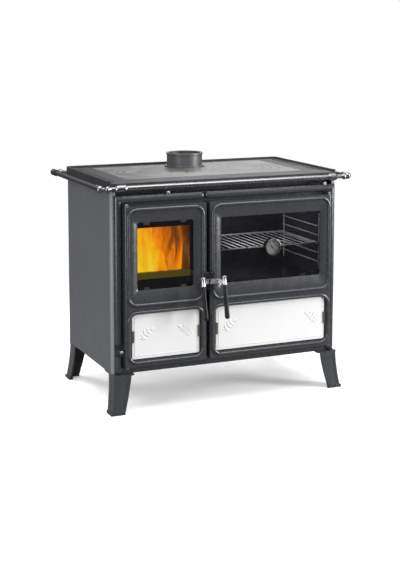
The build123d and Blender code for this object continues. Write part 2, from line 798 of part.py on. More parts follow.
cap_plane_tilt = radians(grip_tilt)
for side, room in ((-1, "firebox"), (1, "oven")):
    pivot_x = split_x + side * pivot_offset
    grip_x = pivot_x + side * handle_spread
    grip_y = pivot_y - handle_reach
    # fork screwed to the door's face, with the lever's pin pressed into it
    with BuildPart() as fork:
        fork_inner = split_x + side * fork_clearance
        fork_outer = fork_inner + side * fork_width
        block(
            (fork_inner, fork_outer),
            (front_y - fork_proud, front_y - door_face_proud),
            (fork_bottom, fork_top),
        )
        fillet(fork.edges().filter_by(Axis.Z).group_by(Axis.Y)[0], hub_radius - 1)
        fillet(fork.faces().sort_by(Axis.Z)[-1].edges().group_by(Axis.Y)[0], 2)
        fillet(fork.faces().sort_by(Axis.Z)[0].edges().group_by(Axis.Y)[0], 2)
        block(
            (fork_inner, fork_outer - side * fork_web),
            (front_y - fork_proud, front_y - door_face_proud),
            (slot_bottom, slot_top),
            Mode.SUBTRACT,
        )
        block(
            (fork_outer - side * fork_web, fork_outer),
            (front_y - fork_proud, pivot_y + 1),
            (slot_bottom, slot_top),
            Mode.SUBTRACT,
        )
        with BuildSketch(level(fork_bottom)):
            with Locations((pivot_x, pivot_y)):
                Circle(pin_radius)
        extrude(amount=fork_top - fork_bottom + 1.5)
    fork.part.label = f"{room}_handle_fork"
    export_step(fork.part, f"parts/{room}_handle_fork.step")

    # lever: hub, tail with its tooth, swept arm and flared cap, in one casting
    arm_length = (handle_spread**2 + handle_reach**2) ** 0.5
    arm_run = Vector(side * handle_spread, -handle_reach, 0).normalized()
    arm_plane = Plane(
        origin=(pivot_x, pivot_y, 0),
        x_dir=arm_run,
        z_dir=arm_run.cross(Vector(0, 0, 1)),
    )
    cap_axis = Vector(0, sin(cap_plane_tilt), (1 - sin(cap_plane_tilt) ** 2) ** 0.5)
    cap_plane = Plane(
        origin=(grip_x, grip_y, cap_bottom),
        x_dir=(1, 0, 0),
        z_dir=Vector(1, 0, 0).cross(cap_axis),
    )
    turn_axis = Axis((grip_x, grip_y, cap_bottom), cap_axis)
    hub_bottom = slot_bottom + lever_play
    hub_top = slot_top - lever_play
    with BuildPart() as lever:
        with BuildSketch(level(hub_bottom)):
            with Locations((pivot_x, pivot_y)):
                Circle(hub_radius)
        extrude(amount=hub_top - hub_bottom)
        tooth_tip = split_x + side * (keeper_head / 2 + keeper_clearance)
        tail_inner = tooth_tip + side * 0.5
        tail_end = pivot_y + tail_length
        block(
            (tail_inner, tail_inner + side * tail_thickness),
            (pivot_y, tail_end),
            (hub_bottom + 2, hub_top - 2),
        )
        block((tooth_tip, tail_inner), (tail_end - 3, tail_end), (hub_bottom + 2, hub_top - 2))
        with BuildSketch(arm_plane):
            with BuildLine():
                Polyline((0, hub_bottom + 2), (0, hub_top), (arm_length, hub_top))
                Line((arm_length, hub_top), (arm_length, cap_bottom + 3))
                Spline(
                    (arm_length, cap_bottom + 3),
                    (arm_length * 0.55, hub_bottom + 6.5),
                    (0, hub_bottom + 2),
                )
            make_face()
        extrude(amount=arm_thickness / 2, both=True)
        with BuildSketch(cap_plane):
            with BuildLine():
                Polyline((0, cap_height), (0, 0), (cap_radius, 0))
                Spline(
                    (cap_radius, 0),
                    (cap_waist, cap_height * 0.45),
                    (cap_radius, cap_height - 2),
                )
                Polyline((cap_radius, cap_height - 2), (cap_radius - 2, cap_height), (0, cap_height))
            make_face()
        revolve(axis=turn_axis)
        with BuildSketch(level(hub_bottom)):
            with Locations((pivot_x, pivot_y)):
                Circle(pin_radius + running_clearance)
        extrude(amount=hub_top - hub_bottom, mode=Mode.SUBTRACT)
    lever.part.label = f"{room}_handle_lever"
    export_step(lever.part, f"parts/{room}_handle_lever.step")

    # grip: a turned handle that swells towards its round end
    with BuildPart() as grip:
        with BuildSketch(cap_plane):
            with BuildLine():
                Polyline((0, grip_end_radius - grip_length), (0, 0), (grip_top_radius, 0))
                Line((grip_top_radius, 0), (grip_end_radius, grip_end_radius - grip_length))
                RadiusArc(
                    (grip_end_radius, grip_end_radius - grip_length),
                    (0, -grip_length),
                    grip_end_radius,
                )
                Line((0, -grip_length), (0, grip_end_radius - grip_length))
            make_face()
        revolve(axis=turn_axis)
    grip.part.label = f"{room}_handle_grip"
    export_step(grip.part, f"parts/{room}_handle_grip.step")

# ---------------------------------------------------------------- hob


def hob_outline(inset=0):
    """The hob's rounded outline, or one that lies inside it by the inset."""
    with Locations((0, (hob_front + hob_back) / 2)):
        RectangleRounded(
            2 * (hob_half - inset),
            hob_back - hob_front - 2 * inset,
            hob_corner - inset,
        )


def plate_outline(inset=0, mode=Mode.ADD):
    """The outline of the opening for the hob plate, or one inside it by the inset."""
    with Locations((0, (plate_front + plate_back) / 2)):
        RectangleRounded(
            2 * (plate_half_width - inset),
            plate_back - plate_front - 2 * inset,
            max(plate_corner - inset, 2),
            mode=mode,
        )


# Frame: a hollow casting with a skirt, a low rim, and a ledge that carries the plate
with BuildPart() as hob_frame:
    with BuildSketch(level(body_top)):
        hob_outline()
    extrude(amount=hob_height - body_top)
    with BuildSketch(level(hob_surface)):
        hob_outline(rim_width)
    extrude(amount=rim_height, mode=Mode.SUBTRACT)
    block(
        (-hob_half, hob_half),
        (hob_front, hob_front + rim_front_stop),
        (hob_surface, hob_height),
        Mode.SUBTRACT,
    )
    with BuildSketch(level(body_top)):
        hob_outline(hob_skirt)
    extrude(amount=plate_bottom - body_top, mode=Mode.SUBTRACT)
    with BuildSketch(level(plate_bottom - plate_ledge_thickness)):
        plate_outline(-plate_ledge)
    extrude(amount=plate_ledge_thickness)
    with BuildSketch(level(plate_bottom - plate_ledge_thickness)):
        plate_outline(plate_ledge)
    extrude(amount=plate_ledge_thickness, mode=Mode.SUBTRACT)
    with BuildSketch(level(plate_bottom)):
        plate_outline()
    extrude(amount=plate_thickness, mode=Mode.SUBTRACT)
    fillet(hob_frame.edges().group_by(Axis.Z)[-1], 1.2)
    # round ends of the rim
    with BuildSketch(level(hob_surface)):
        post_reach = hob_half - rim_width + 1
        with Locations(*[(side * post_reach, hob_front + rim_front_stop) for side in (-1, 1)]):
            Circle(rim_post_radius)
    extrude(amount=rim_height + rim_post_rise, taper=8)
hob_frame.part.label = "hob_frame"
export_step(hob_frame.part, "parts/hob_frame.step")

# Plate: stepped opening for the ring over the fire, and the throat of the flue
half_plate = plate_thickness / 2
with BuildPart() as hob_plate:
    with BuildSketch(level(plate_bottom)):
        plate_outline(plate_clearance)
        with Locations((-zone_x, zone_y)):
            Circle(ring_radius - ring_step, mode=Mode.SUBTRACT)
        with Locations((flue_x, flue_y)):
            Circle(flue_throat, mode=Mode.SUBTRACT)
    extrude(amount=plate_thickness)
    with BuildSketch(level(hob_surface - half_plate)):
        with Locations((-zone_x, zone_y)):
            Circle(ring_radius)
    extrude(amount=half_plate, mode=Mode.SUBTRACT)
    # turned grooves round the cooking zones, and the seat of the flue collar over them
    with BuildSketch(level(hob_surface - groove_depth)):
        for middle_x, radii in ((-zone_x, fire_zone_grooves), (zone_x, oven_zone_grooves)):
            with Locations((middle_x, zone_y)):
                for radius in reversed(radii):
                    Circle(radius)
                    Circle(radius - groove_width, mode=Mode.SUBTRACT)
    extrude(amount=groove_depth, mode=Mode.SUBTRACT)
    with BuildSketch(level(hob_surface - flue_seat)):
        with Locations((flue_x, flue_y)):
            Circle(flue_flange_radius + ring_clearance)
    extrude(amount=flue_seat, mode=Mode.SUBTRACT)
hob_plate.part.label = "hob_plate"
export_step(hob_plate.part, "parts/hob_plate.step")

# Ring and lid: each hangs by its upper flange in the rebate round it
with BuildPart() as hob_ring:
    with BuildSketch(level(plate_bottom)):
        with Locations((-zone_x, zone_y)):
            Circle(ring_radius - ring_step - ring_clearance)
            Circle(lid_radius - ring_step, mode=Mode.SUBTRACT)
    extrude(amount=half_plate)
    with BuildSketch(level(hob_surface - half_plate)):
        with Locations((-zone_x, zone_y)):
            Circle(ring_radius - ring_clearance)
            Circle(lid_radius, mode=Mode.SUBTRACT)
    extrude(amount=half_plate)
hob_ring.part.label = "hob_ring"
export_step(hob_ring.part, "parts/hob_ring.step")

with BuildPart() as hob_lid:
    with BuildSketch(level(plate_bottom)):
        with Locations((-zone_x, zone_y)):
            Circle(lid_radius - ring_step - ring_clearance)
    extrude(amount=plate_thickness)
    with BuildSketch(level(hob_surface - half_plate)):
        with Locations((-zone_x, zone_y)):
            Circle(lid_radius - ring_clearance)
    extrude(amount=half_plate)
    with BuildSketch(level(hob_surface - half_plate)):
        with Locations((-zone_x, zone_y - lid_radius / 2)):
            SlotOverall(lid_slot_length, lid_slot_width)
    extrude(amount=half_plate, mode=Mode.SUBTRACT)
hob_lid.part.label = "hob_lid"
export_step(hob_lid.part, "parts/hob_lid.step")

# Flue collar: flanged socket with a stop for the pipe and a thickened lip
with BuildPart() as flue_collar:
    with BuildSketch(Plane.XZ.offset(-flue_y)):
        with BuildLine():
            Polyline(
                (flue_x + flue_throat, hob_surface - flue_seat),
                (flue_x + flue_flange_radius, hob_surface - flue_seat),
                (flue_x + flue_flange_radius, hob_surface + flue_flange_thickness),
                (flue_x + flue_bore + flue_wall, hob_surface + flue_flange_thickness),
                (flue_x + flue_bore + flue_wall, hob_surface + flue_height - lip_height - flue_lip),
                (flue_x + flue_bore + flue_wall + flue_lip, hob_surface + flue_height - lip_height),
                (flue_x + flue_bore + flue_wall + flue_lip, hob_surface + flue_height),
                (flue_x + flue_bore, hob_surface + flue_height),
                (flue_x + flue_bore, hob_surface + flue_stop),
                (flue_x + flue_throat, hob_surface + flue_stop),
                close=True,
            )
        make_face()
    revolve(axis=Axis((flue_x, flue_y, 0), (0, 0, 1)))
flue_collar.part.label = "flue_collar"
export_step(flue_collar.part, "parts/flue_collar.step")

# ---------------------------------------------------------------- rails

rail_front_y = hob_front - front_rail_gap - rail_radius
rail_side_x = hob_half + side_rail_gap + rail_radius
boss_x = hob_half + boss_offset
ferrule_end = boss_x - ferrule_start - ferrule_length
front_ball_y = front_y - front_ball_reach
rear_ball_y = back_y + rear_ball_reach
rear_boss_y = hob_back + rear_boss_gap

with BuildPart() as front_rail:
    with BuildSketch(Plane.YZ.offset(-ferrule_end - socket_depth)):
        with Locations((rail_front_y, rail_height)):
            Circle(rail_radius)
            Circle(rail_radius - rail_wall, mode=Mode.SUBTRACT)
    extrude(amount=2 * (ferrule_end + socket_depth))
front_rail.part.label = "front_rail"
export_step(front_rail.part, "parts/front_rail.step")

side_rail_front = front_ball_y + ball_radius + bell_length - socket_depth
side_rail_back = rear_ball_y - ball_radius - bell_length + socket_depth
for side, rail_name in ((-1, "left_rail"), (1, "right_rail")):
    with BuildPart() as side_rail:
        with BuildSketch(Plane.XZ.offset(-side_rail_front)):
            with Locations((side * rail_side_x, rail_height)):
                Circle(rail_radius)
                Circle(rail_radius - rail_wall, mode=Mode.SUBTRACT)
        extrude(amount=side_rail_front - side_rail_back)
    side_rail.part.label = rail_name
    export_step(side_rail.part, f"parts/{rail_name}.step")


# Corner fittings: a boss seated on the hob's corner, a neck to a ball, and the rails' sockets
with BuildPart() as rail_fittings:
    for side in (-1, 1):
        for boss_y, ball_y, toward in (
            (rail_front_y, front_ball_y, 1),
            (rear_boss_y, rear_ball_y, -1),
        ):
            # ball and bell in one turned piece, bored for the side rail
            bell_start = ball_y + toward * (ball_radius**2 - bell_neck**2) ** 0.5
            bell_end = ball_y + toward * (ball_radius + bell_length)
            socket_floor = bell_end - toward * socket_depth
            socket_wall = rail_height + rail_radius + running_clearance
            with BuildSketch(Plane.YZ.offset(side * rail_side_x)):
                with BuildLine():
                    Polyline(
                        (ball_y - toward * ball_radius, rail_height),
                        (socket_floor, rail_height),
                        (socket_floor, socket_wall),
                        (bell_end, socket_wall),
                        (bell_end, rail_height + bell_mouth),
                        (bell_start, rail_height + bell_neck),
                    )
                    ThreePointArc(
                        (bell_start, rail_height + bell_neck),
                        (ball_y, rail_height + ball_radius),
                        (ball_y - toward * ball_radius, rail_height),
                    )
                make_face()
            revolve(axis=Axis((side * rail_side_x, ball_y, rail_height), (0, 1, 0)))
            boss = (side * boss_x, boss_y, rail_height)
            ball = (side * rail_side_x, ball_y, rail_height)
            seat_run = toward * (boss_offset + hob_corner)
            seat = (side * (hob_half - hob_corner), boss_y + seat_run, rail_height)
            if toward < 0:
                with Locations(boss):
                    Sphere(boss_radius)
            else:
                # boss, neck and ferrule in one turned piece, bored for the front rail
                ferrule_top = rail_height + ferrule_radius
                neck_end = boss_x - ferrule_start + 4
                with BuildSketch(Plane.XZ.offset(-boss_y)):
                    with BuildLine():
                        Polyline(
                            (side * (boss_x + boss_radius), rail_height),
                            (side * (ferrule_end + socket_depth), rail_height),
                            (side * (ferrule_end + socket_depth), socket_wall),
                            (side * ferrule_end, socket_wall),
                            (side * ferrule_end, ferrule_top - 2),
                            (side * (ferrule_end + 6), ferrule_top),
                            (side * (boss_x - ferrule_start - 6), ferrule_top),
                            (side * (boss_x - ferrule_start), ferrule_top - 3),
                            (side * neck_end, rail_height + lug_radius),
                            (side * (boss_x - boss_radius), rail_height + lug_radius),
                            (side * boss_x, rail_height + boss_radius),
                        )
                        ThreePointArc(
                            (side * boss_x, rail_height + boss_radius),
                            (side * (boss_x + boss_radius * 0.6), rail_height + boss_radius * 0.8),
                            (side * (boss_x + boss_radius), rail_height),
                        )
                    make_face()
                revolve(axis=Axis(boss, (1, 0, 0)))
            rod_between(boss, ball, neck_radius)
            rod_between(boss, seat, lug_radius)
    with BuildSketch(level(body_top)):
        hob_outline()
    extrude(amount=hob_height - body_top, mode=Mode.SUBTRACT)
rail_fittings.part.label = "rail_fittings"
export_step(rail_fittings.part, "parts/rail_fittings.step")

# ---------------------------------------------------------------- legs

leg_stations = (0, 0.35, 0.7, 1)
panel_stations = (0.14, 0.35, 0.6, 0.84)
leg_fall = leg_height - leg_flange


def leg_face(side, end, share):
    """The outer corner of a leg at a share of the way down: x of its side, y of its front or rear."""
    spread = share**leg_curve
    top_y = front_y - web - moulding_radius if end < 0 else back_y
    return side * (half_width - leg_inset + leg_splay * spread), top_y + end * leg_kick * spread


def leg_section(side, end, share, wall=0, past=0):
    """A leg's section at a share of the way down; with a wall, that of the hollow that opens inward."""
    face_x, face_y = leg_face(side, end, share)
    width = leg_width_top + (leg_width_foot - leg_width_top) * share + past
    depth = leg_depth_top + (leg_depth_foot - leg_depth_top) * share + past
    with Locations((face_x - side * (wall + width) / 2, face_y - end * (wall + depth) / 2)):
        Rectangle(width - wall, depth - wall)


for leg_name, (side, end) in leg_corners.items():
    corner_x, corner_y = leg_corner(side, end)
    toe_x, toe_y = leg_face(side, end, 1)
    with BuildPart() as leg:
        for share in leg_stations:
            with BuildSketch(level(leg_fall * (1 - share))):
                leg_section(side, end, share)
        loft()
        # hollow that opens inward
        for share in leg_stations:
            with BuildSketch(level(leg_fall * (1 - share))):
                leg_section(side, end, share, leg_wall, hollow_past)
        loft(mode=Mode.SUBTRACT)
        # foot: two thicker arms with a small lip on their outer sides
        for arm_x, arm_y in (
            (toe_x - side * foot_wall, toe_y - end * leg_depth_foot),
            (toe_x - side * leg_width_foot, toe_y - end * foot_wall),
        ):
            block((toe_x + side * foot_lip, arm_x), (toe_y + end * foot_lip, arm_y), (0, foot_height))
        foot_edges = leg.edges().filter_by(Axis.Z).filter_by_position(Axis.Z, 0, foot_height)
        fillet(foot_edges.sort_by(Axis.X)[0 if side < 0 else -1], foot_lip)
        # sunk panel on the front
        for share in panel_stations:
            face_x, face_y = leg_face(side, end, share)
            width = leg_width_top + (leg_width_foot - leg_width_top) * share
            with BuildSketch(level(leg_fall * (1 - share))):
                with Locations((face_x - side * width / 2, face_y)):
                    Rectangle(width - 2 * leg_border, 2 * leg_panel_depth)
        loft(mode=Mode.SUBTRACT)
        block(
            (corner_x, corner_x - side * leg_flange_width),
            (leg_face(side, end, 0)[1], corner_y - end * leg_flange_width),
            (leg_fall, leg_height),
        )
        with BuildSketch(level(leg_fall)):
            with Locations(*leg_bolt_places):
                Circle(leg_bolt_radius + leg_bolt_clearance)
        extrude(amount=leg_flange, mode=Mode.SUBTRACT)
    leg.part.label = leg_name
    export_step(leg.part, f"parts/{leg_name}.step")

with BuildPart() as leg_bolts:
    with BuildSketch(level(leg_fall)):
        with Locations(*leg_bolt_places):
            Circle(leg_bolt_radius)
    extrude(amount=leg_flange + base_sheet)
    with BuildSketch(level(leg_height + base_sheet)):
        with Locations(*leg_bolt_places):
            RegularPolygon(bolt_head_radius, 6)
    extrude(amount=bolt_head_height)
leg_bolts.part.label = "leg_bolts"
export_step(leg_bolts.part, "parts/leg_bolts.step")

# ---------------------------------------------------------------- firebox and ash chamber

casing_back = back_y - smoke_space - casing_sheet
floor_bottom = firebox_floor_top - firebox_floor_thickness

# Welded casing: two sides, a back, the ash chamber's floor and the ledges of the firebox floor
with BuildPart() as firebox_casing:
    block(
        (casing_left - casing_sheet, casing_right + casing_sheet),
        (front_y, casing_back + casing_sheet),
        (leg_height + base_sheet, casing_top),
    )
    block((casing_left, casing_right), (front_y, casing_back), (ash_floor_top, casing_top), Mode.SUBTRACT)
    block(
        (casing_left, casing_right),
        (front_y, casing_back),
        (leg_height + base_sheet, ash_floor_top - casing_sheet),
        Mode.SUBTRACT,
    )
    for edge, toward in ((casing_left, 1), (casing_right, -1)):
        block(
            (edge, edge + toward * casing_ledge),
            (front_y, casing_back),
            (floor_bottom - casing_ledge, floor_bottom),
        )
firebox_casing.part.label = "firebox_casing"
export_step(firebox_casing.part, "parts/firebox_casing.step")

# Cast floor of the firebox, with the rebated opening of the grate
firebox_middle = (firebox_left + firebox_right) / 2
grate_x = (firebox_middle - grate_width / 2, firebox_middle + grate_width / 2)
grate_y = (front_y + grate_setback, casing_back - lining - grate_rear_margin)
grate_length = grate_y[1] - grate_y[0]
with BuildPart() as firebox_floor:
    block(
        (casing_left + seat_gap, casing_right - seat_gap),
        (front_y + seat_gap, casing_back - seat_gap),
        (floor_bottom, firebox_floor_top),
    )
    block(grate_x, grate_y, (firebox_floor_top - grate_thickness, firebox_floor_top), Mode.SUBTRACT)
    block(
        (grate_x[0] + grate_rebate, grate_x[1] - grate_rebate),
        (grate_y[0] + grate_rebate, grate_y[1] - grate_rebate),
        (floor_bottom, firebox_floor_top),
        Mode.SUBTRACT,
    )
firebox_floor.part.label = "firebox_floor"
export_step(firebox_floor.part, "parts/firebox_floor.step")

with BuildPart() as fire_grate:
    with BuildSketch(level(firebox_floor_top - grate_thickness)):
        with Locations(((grate_x[0] + grate_x[1]) / 2, (grate_y[0] + grate_y[1]) / 2)):
            Rectangle(grate_width - 2 * grate_clearance, grate_length - 2 * grate_clearance)
            with GridLocations(grate_slot_pitch, 1, int((grate_width - 20) / grate_slot_pitch), 1):
                SlotOverall(grate_length - 50, grate_slot_width, rotation=90, mode=Mode.SUBTRACT)
    extrude(amount=grate_thickness)
fire_grate.part.label = "fire_grate"
export_step(fire_grate.part, "parts/fire_grate.step")

# Fireclay linings at the sides and the back
lining_y = (front_y + seat_gap, casing_back - lining - seat_gap)
for lining_name, lining_x, lining_span in (
    ("firebox_left_lining", (casing_left + seat_gap, firebox_left), lining_y),
    ("firebox_right_lining", (firebox_right, casing_right - seat_gap), lining_y),
    (
        "firebox_back_lining",
        (casing_left + seat_gap, casing_right - seat_gap),
        (casing_back - lining, casing_back - seat_gap),
    ),
):
    with BuildPart() as brick:
        block(lining_x, lining_span, (firebox_floor_top, lining_top))
        chamfer(brick.faces().sort_by(Axis.Z)[-1].edges(), 3)
    brick.part.label = lining_name
    export_step(brick.part, f"parts/{lining_name}.step")

# Ash drawer: folded tray with a cup pull on its front
with BuildPart() as ash_drawer:
    drawer_x = (firebox_left + drawer_side_gap, firebox_right - drawer_side_gap)
    drawer_front = front_y + drawer_setback
    drawer_y = (drawer_front, casing_back - drawer_rear_space)
    drawer_z = (ash_floor_top + seat_gap, ash_floor_top + seat_gap + drawer_height)
    block(drawer_x, drawer_y, drawer_z)
    block(
        (drawer_x[0] + drawer_sheet, drawer_x[1] - drawer_sheet),
        (drawer_y[0] + drawer_sheet, drawer_y[1] - drawer_sheet),
        (drawer_z[0] + drawer_sheet, drawer_z[1]),
        Mode.SUBTRACT,
    )
    pull_middle = (drawer_x[0] + drawer_x[1]) / 2
    block(
        (pull_middle - 35, pull_middle + 35),
        (drawer_front - 12, drawer_front),
        (drawer_z[1] - 30, drawer_z[1] - 27),
    )
    block(
        (pull_middle - 35, pull_middle + 35),
        (drawer_front - 12, drawer_front - 10.5),
        (drawer_z[1] - 42, drawer_z[1] - 27),
    )
ash_drawer.part.label = "ash_drawer"
export_step(ash_drawer.part, "parts/ash_drawer.step")

# ---------------------------------------------------------------- oven

oven_back = front_y + oven_depth
oven_top = upper_mouth_top
with BuildPart() as oven_liner:
    with BuildSketch(Plane.XZ.offset(-front_y)):
        panel_outline(
            (oven_left - oven_sheet, oven_right + oven_sheet),
            (oven_bottom - oven_sheet, oven_top + oven_sheet),
            mouth_corner + oven_sheet,
        )
    extrude(amount=-oven_depth - oven_sheet)
    with BuildSketch(Plane.XZ.offset(-front_y)):
        panel_outline(
            (oven_left - oven_flange, oven_right + oven_flange),
            (oven_bottom - oven_flange, oven_top + oven_flange),
            mouth_corner,
        )
    extrude(amount=-oven_sheet)
    with BuildSketch(Plane.XZ.offset(-front_y)):
        panel_outline((oven_left, oven_right), (oven_bottom, oven_top), mouth_corner)
    extrude(amount=-oven_depth, mode=Mode.SUBTRACT)
oven_liner.part.label = "oven_liner"
export_step(oven_liner.part, "parts/oven_liner.step")

# Wire racks on the oven's two sides
runner_y = (front_y + runner_setback, front_y + runner_setback + runner_length)
with BuildPart() as oven_runners:
    for wall_x, toward in ((oven_left, 1), (oven_right, -1)):
        rack_x = wall_x + toward * (wire_radius + seat_gap)
        for upright_y in runner_y:
            rod_between((rack_x, upright_y, runner_foot), (rack_x, upright_y, runner_head), wire_radius)
        for height in runner_levels:
            rung_x = rack_x + toward * rung_offset
            rod_between(
                (rung_x, runner_y[0] - wire_radius, height),
                (rung_x, runner_y[1] + wire_radius, height),
                wire_radius,
            )
oven_runners.part.label = "oven_runners"
export_step(oven_runners.part, "parts/oven_runners.step")

# Wire shelf, resting on one pair of rungs
with BuildPart() as oven_shelf:
    shelf_x = (oven_left + shelf_side_gap, oven_right - shelf_side_gap)
    shelf_y = (runner_y[0], runner_y[1])
    shelf_z = shelf_level + wire_radius + shelf_frame_wire
    with BuildLine(level(shelf_z)) as shelf_edge:
        FilletPolyline(
            (shelf_x[0], shelf_y[0]),
            (shelf_x[1], shelf_y[0]),
            (shelf_x[1], shelf_y[1]),
            (shelf_x[0], shelf_y[1]),
            radius=shelf_frame_corner,
            close=True,
        )
    with BuildSketch(Plane(origin=shelf_edge.line @ 0, z_dir=shelf_edge.line % 0)):
        Circle(shelf_frame_wire)
    sweep()
    for bar in range(1, shelf_bars + 1):
        bar_x = shelf_x[0] + (shelf_x[1] - shelf_x[0]) * bar / (shelf_bars + 1)
        rod_between((bar_x, shelf_y[0], shelf_z), (bar_x, shelf_y[1], shelf_z), shelf_wire)
oven_shelf.part.label = "oven_shelf"
export_step(oven_shelf.part, "parts/oven_shelf.step")

# Floor of the smoke passage under the oven, which is also the roof of the wood compartment
with BuildPart() as smoke_duct_floor:
    block(
        (casing_right + casing_sheet + seat_gap, tray_half - seat_gap),
        (front_y + panel_sheet + seat_gap, tray_back - seat_gap),
        (duct_floor_top - base_sheet, duct_floor_top),
    )
    front_edges = smoke_duct_floor.edges().filter_by(Axis.Z).group_by(Axis.Y)[0]
    fillet(front_edges.sort_by(Axis.X)[-1], panel_corner)
smoke_duct_floor.part.label = "smoke_duct_floor"
export_step(smoke_duct_floor.part, "parts/smoke_duct_floor.step")

# ---------------------------------------------------------------- thermometer

dial_x = (oven_door_left + door_outer) / 2
dial_z = (window_bottom + window_top) / 2


def disc(proud, thickness, radius, mode=Mode.ADD):
    """A round disc on the thermometer's axis, from one plane forward."""
    back = (dial_x, front_y - proud, dial_z)
    rod_between(back, (dial_x, front_y - proud - thickness, dial_z), radius, mode)


with BuildPart() as thermometer_case:
    disc(glass_proud, thermometer_proud - glass_proud, thermometer_radius)
    fillet(thermometer_case.faces().sort_by(Axis.Y)[0].edges(), 2.5)
    well = dial_proud - dial_sheet
    disc(well, thermometer_proud - well, thermometer_bore, Mode.SUBTRACT)
    stem_end = door_hollow_proud - thermometer_tail
    disc(stem_end, glass_proud - stem_end, thermometer_stem)
    disc(door_hollow_proud - washer_thickness, washer_thickness, thermometer_washer)
thermometer_case.part.label = "thermometer_case"
export_step(thermometer_case.part, "parts/thermometer_case.step")

with BuildPart() as thermometer_dial:
    disc(dial_proud - dial_sheet, dial_sheet, thermometer_bore - lens_clearance)
thermometer_dial.part.label = "thermometer_dial"
export_step(thermometer_dial.part, "parts/thermometer_dial.step")

with BuildPart() as thermometer_needle:
    needle_turn = radians(needle_rest)
    needle_plane = Plane(
        origin=(dial_x, front_y - needle_proud, dial_z),
        x_dir=(cos(needle_turn), 0, -sin(needle_turn)),
        z_dir=(0, -1, 0),
    )
    with BuildSketch(needle_plane):
        with BuildLine():
            Polyline(
                (-needle_waist, 0),
                (0, needle_length),
                (needle_waist, 0),
                (needle_tail_width, -needle_tail),
                (-needle_tail_width, -needle_tail),
                close=True,
            )
        make_face()
    extrude(amount=needle_sheet)
    disc(dial_proud + needle_lift, needle_proud + 2 * needle_sheet - dial_proud - needle_lift, needle_hub)
thermometer_needle.part.label = "thermometer_needle"
export_step(thermometer_needle.part, "parts/thermometer_needle.step")

with BuildPart() as thermometer_lens:
    disc(lens_proud - lens_thickness, lens_thickness, thermometer_bore - lens_clearance)
thermometer_lens.part.label = "thermometer_lens"
export_step(thermometer_lens.part, "parts/thermometer_lens.step")

# ---------------------------------------------------------------- air and smoke controls


def pull_rod(x, z, length):
    """A pull rod with its knob, reaching this far behind the body's front."""
    knob_back = front_y - knob_proud + knob_length
    rod_between((x, knob_back, z), (x, front_y - knob_proud, z), knob_radius)
    rod_between((x, front_y + length, z), (x, knob_back - 1, z), rod_radius)


with BuildPart() as bypass_damper:
    pull_rod(bypass_x, rod_height, bypass_length)
    fillet(bypass_damper.faces().sort_by(Axis.Y)[0].edges(), 2.5)
    block(
        (bypass_x - bypass_plate_width, bypass_x + rod_radius),
        (front_y + bypass_length - bypass_plate_depth, front_y + bypass_length),
        (rod_height - control_sheet / 2, rod_height + control_sheet / 2),
    )
bypass_damper.part.label = "bypass_damper"
export_step(bypass_damper.part, "parts/bypass_damper.step")

with BuildPart() as secondary_air_slide:
    pull_rod(secondary_x, rod_height, secondary_setback)
    fillet(secondary_air_slide.faces().sort_by(Axis.Y)[0].edges(), 2.5)
    block(
        (secondary_x - secondary_plate_width / 2, secondary_x + secondary_plate_width / 2),
        (front_y + secondary_setback - control_sheet, front_y + secondary_setback),
        (rod_height - 16, rod_height + 6),
    )
secondary_air_slide.part.label = "secondary_air_slide"
export_step(secondary_air_slide.part, "parts/secondary_air_slide.step")

with BuildPart() as primary_air_slide:
    pull_rod(primary_x, primary_height, primary_setback)
    fillet(primary_air_slide.faces().sort_by(Axis.Y)[0].edges(), 2.5)
    with BuildSketch(face(-primary_setback)):
        with Locations((primary_x, primary_height)):
            Circle(primary_disc)
    extrude(amount=control_sheet)
primary_air_slide.part.label = "primary_air_slide"
export_step(primary_air_slide.part, "parts/primary_air_slide.step")
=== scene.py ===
# %% [markdown]
# # A wood cookstove, from a measured frame to a finished picture
# The stove's metalwork is already measured and built as separate parts: panels, doors,
# hob, rails, legs. This lesson loads those parts as a fixed frame and gives them what
# the measuring tool leaves out: enamel, cast grain, polish, glaze, fire behind the
# glass, screws, and figures on the dial. Nothing here moves or resizes a part.

# %% Load the measured stove
import math
import random

import bmesh
import bpy
import numpy as np
from mathutils import Matrix, Vector


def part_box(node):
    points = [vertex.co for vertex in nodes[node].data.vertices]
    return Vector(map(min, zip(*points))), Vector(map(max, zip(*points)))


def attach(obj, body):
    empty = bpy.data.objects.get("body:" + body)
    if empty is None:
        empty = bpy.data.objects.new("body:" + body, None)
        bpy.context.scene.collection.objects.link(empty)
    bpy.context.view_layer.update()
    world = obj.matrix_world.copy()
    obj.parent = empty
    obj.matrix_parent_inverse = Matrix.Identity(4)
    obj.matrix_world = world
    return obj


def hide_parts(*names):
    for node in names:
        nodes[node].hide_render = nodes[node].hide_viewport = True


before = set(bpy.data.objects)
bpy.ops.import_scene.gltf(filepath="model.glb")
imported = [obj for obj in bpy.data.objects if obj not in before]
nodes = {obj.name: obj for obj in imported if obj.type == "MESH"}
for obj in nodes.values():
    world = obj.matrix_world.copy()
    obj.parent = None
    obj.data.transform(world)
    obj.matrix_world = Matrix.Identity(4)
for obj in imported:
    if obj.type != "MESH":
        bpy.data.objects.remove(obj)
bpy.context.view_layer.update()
random.seed(7)
mm = 0.001

# %% [markdown]
# ## The camera
# The photograph was taken from the left of the stove, a little above the hob, with a
# long lens. Its upright edges stay upright, which a photographer gets by keeping the
# camera nearly level and shifting the lens down; a camera simply aimed down would make
# them lean together. The same is done here: about half of the downward look is a small
# tilt, and the rest is the lens shift.

# %% Camera
photo_long_side = 570
sensor_width = 36
focal_in_pixels = 1237.3
camera_yaw = 0.40711
camera_tilt = 0.1190
camera_place = Vector((-1.919, -4.4087, 1.4297))

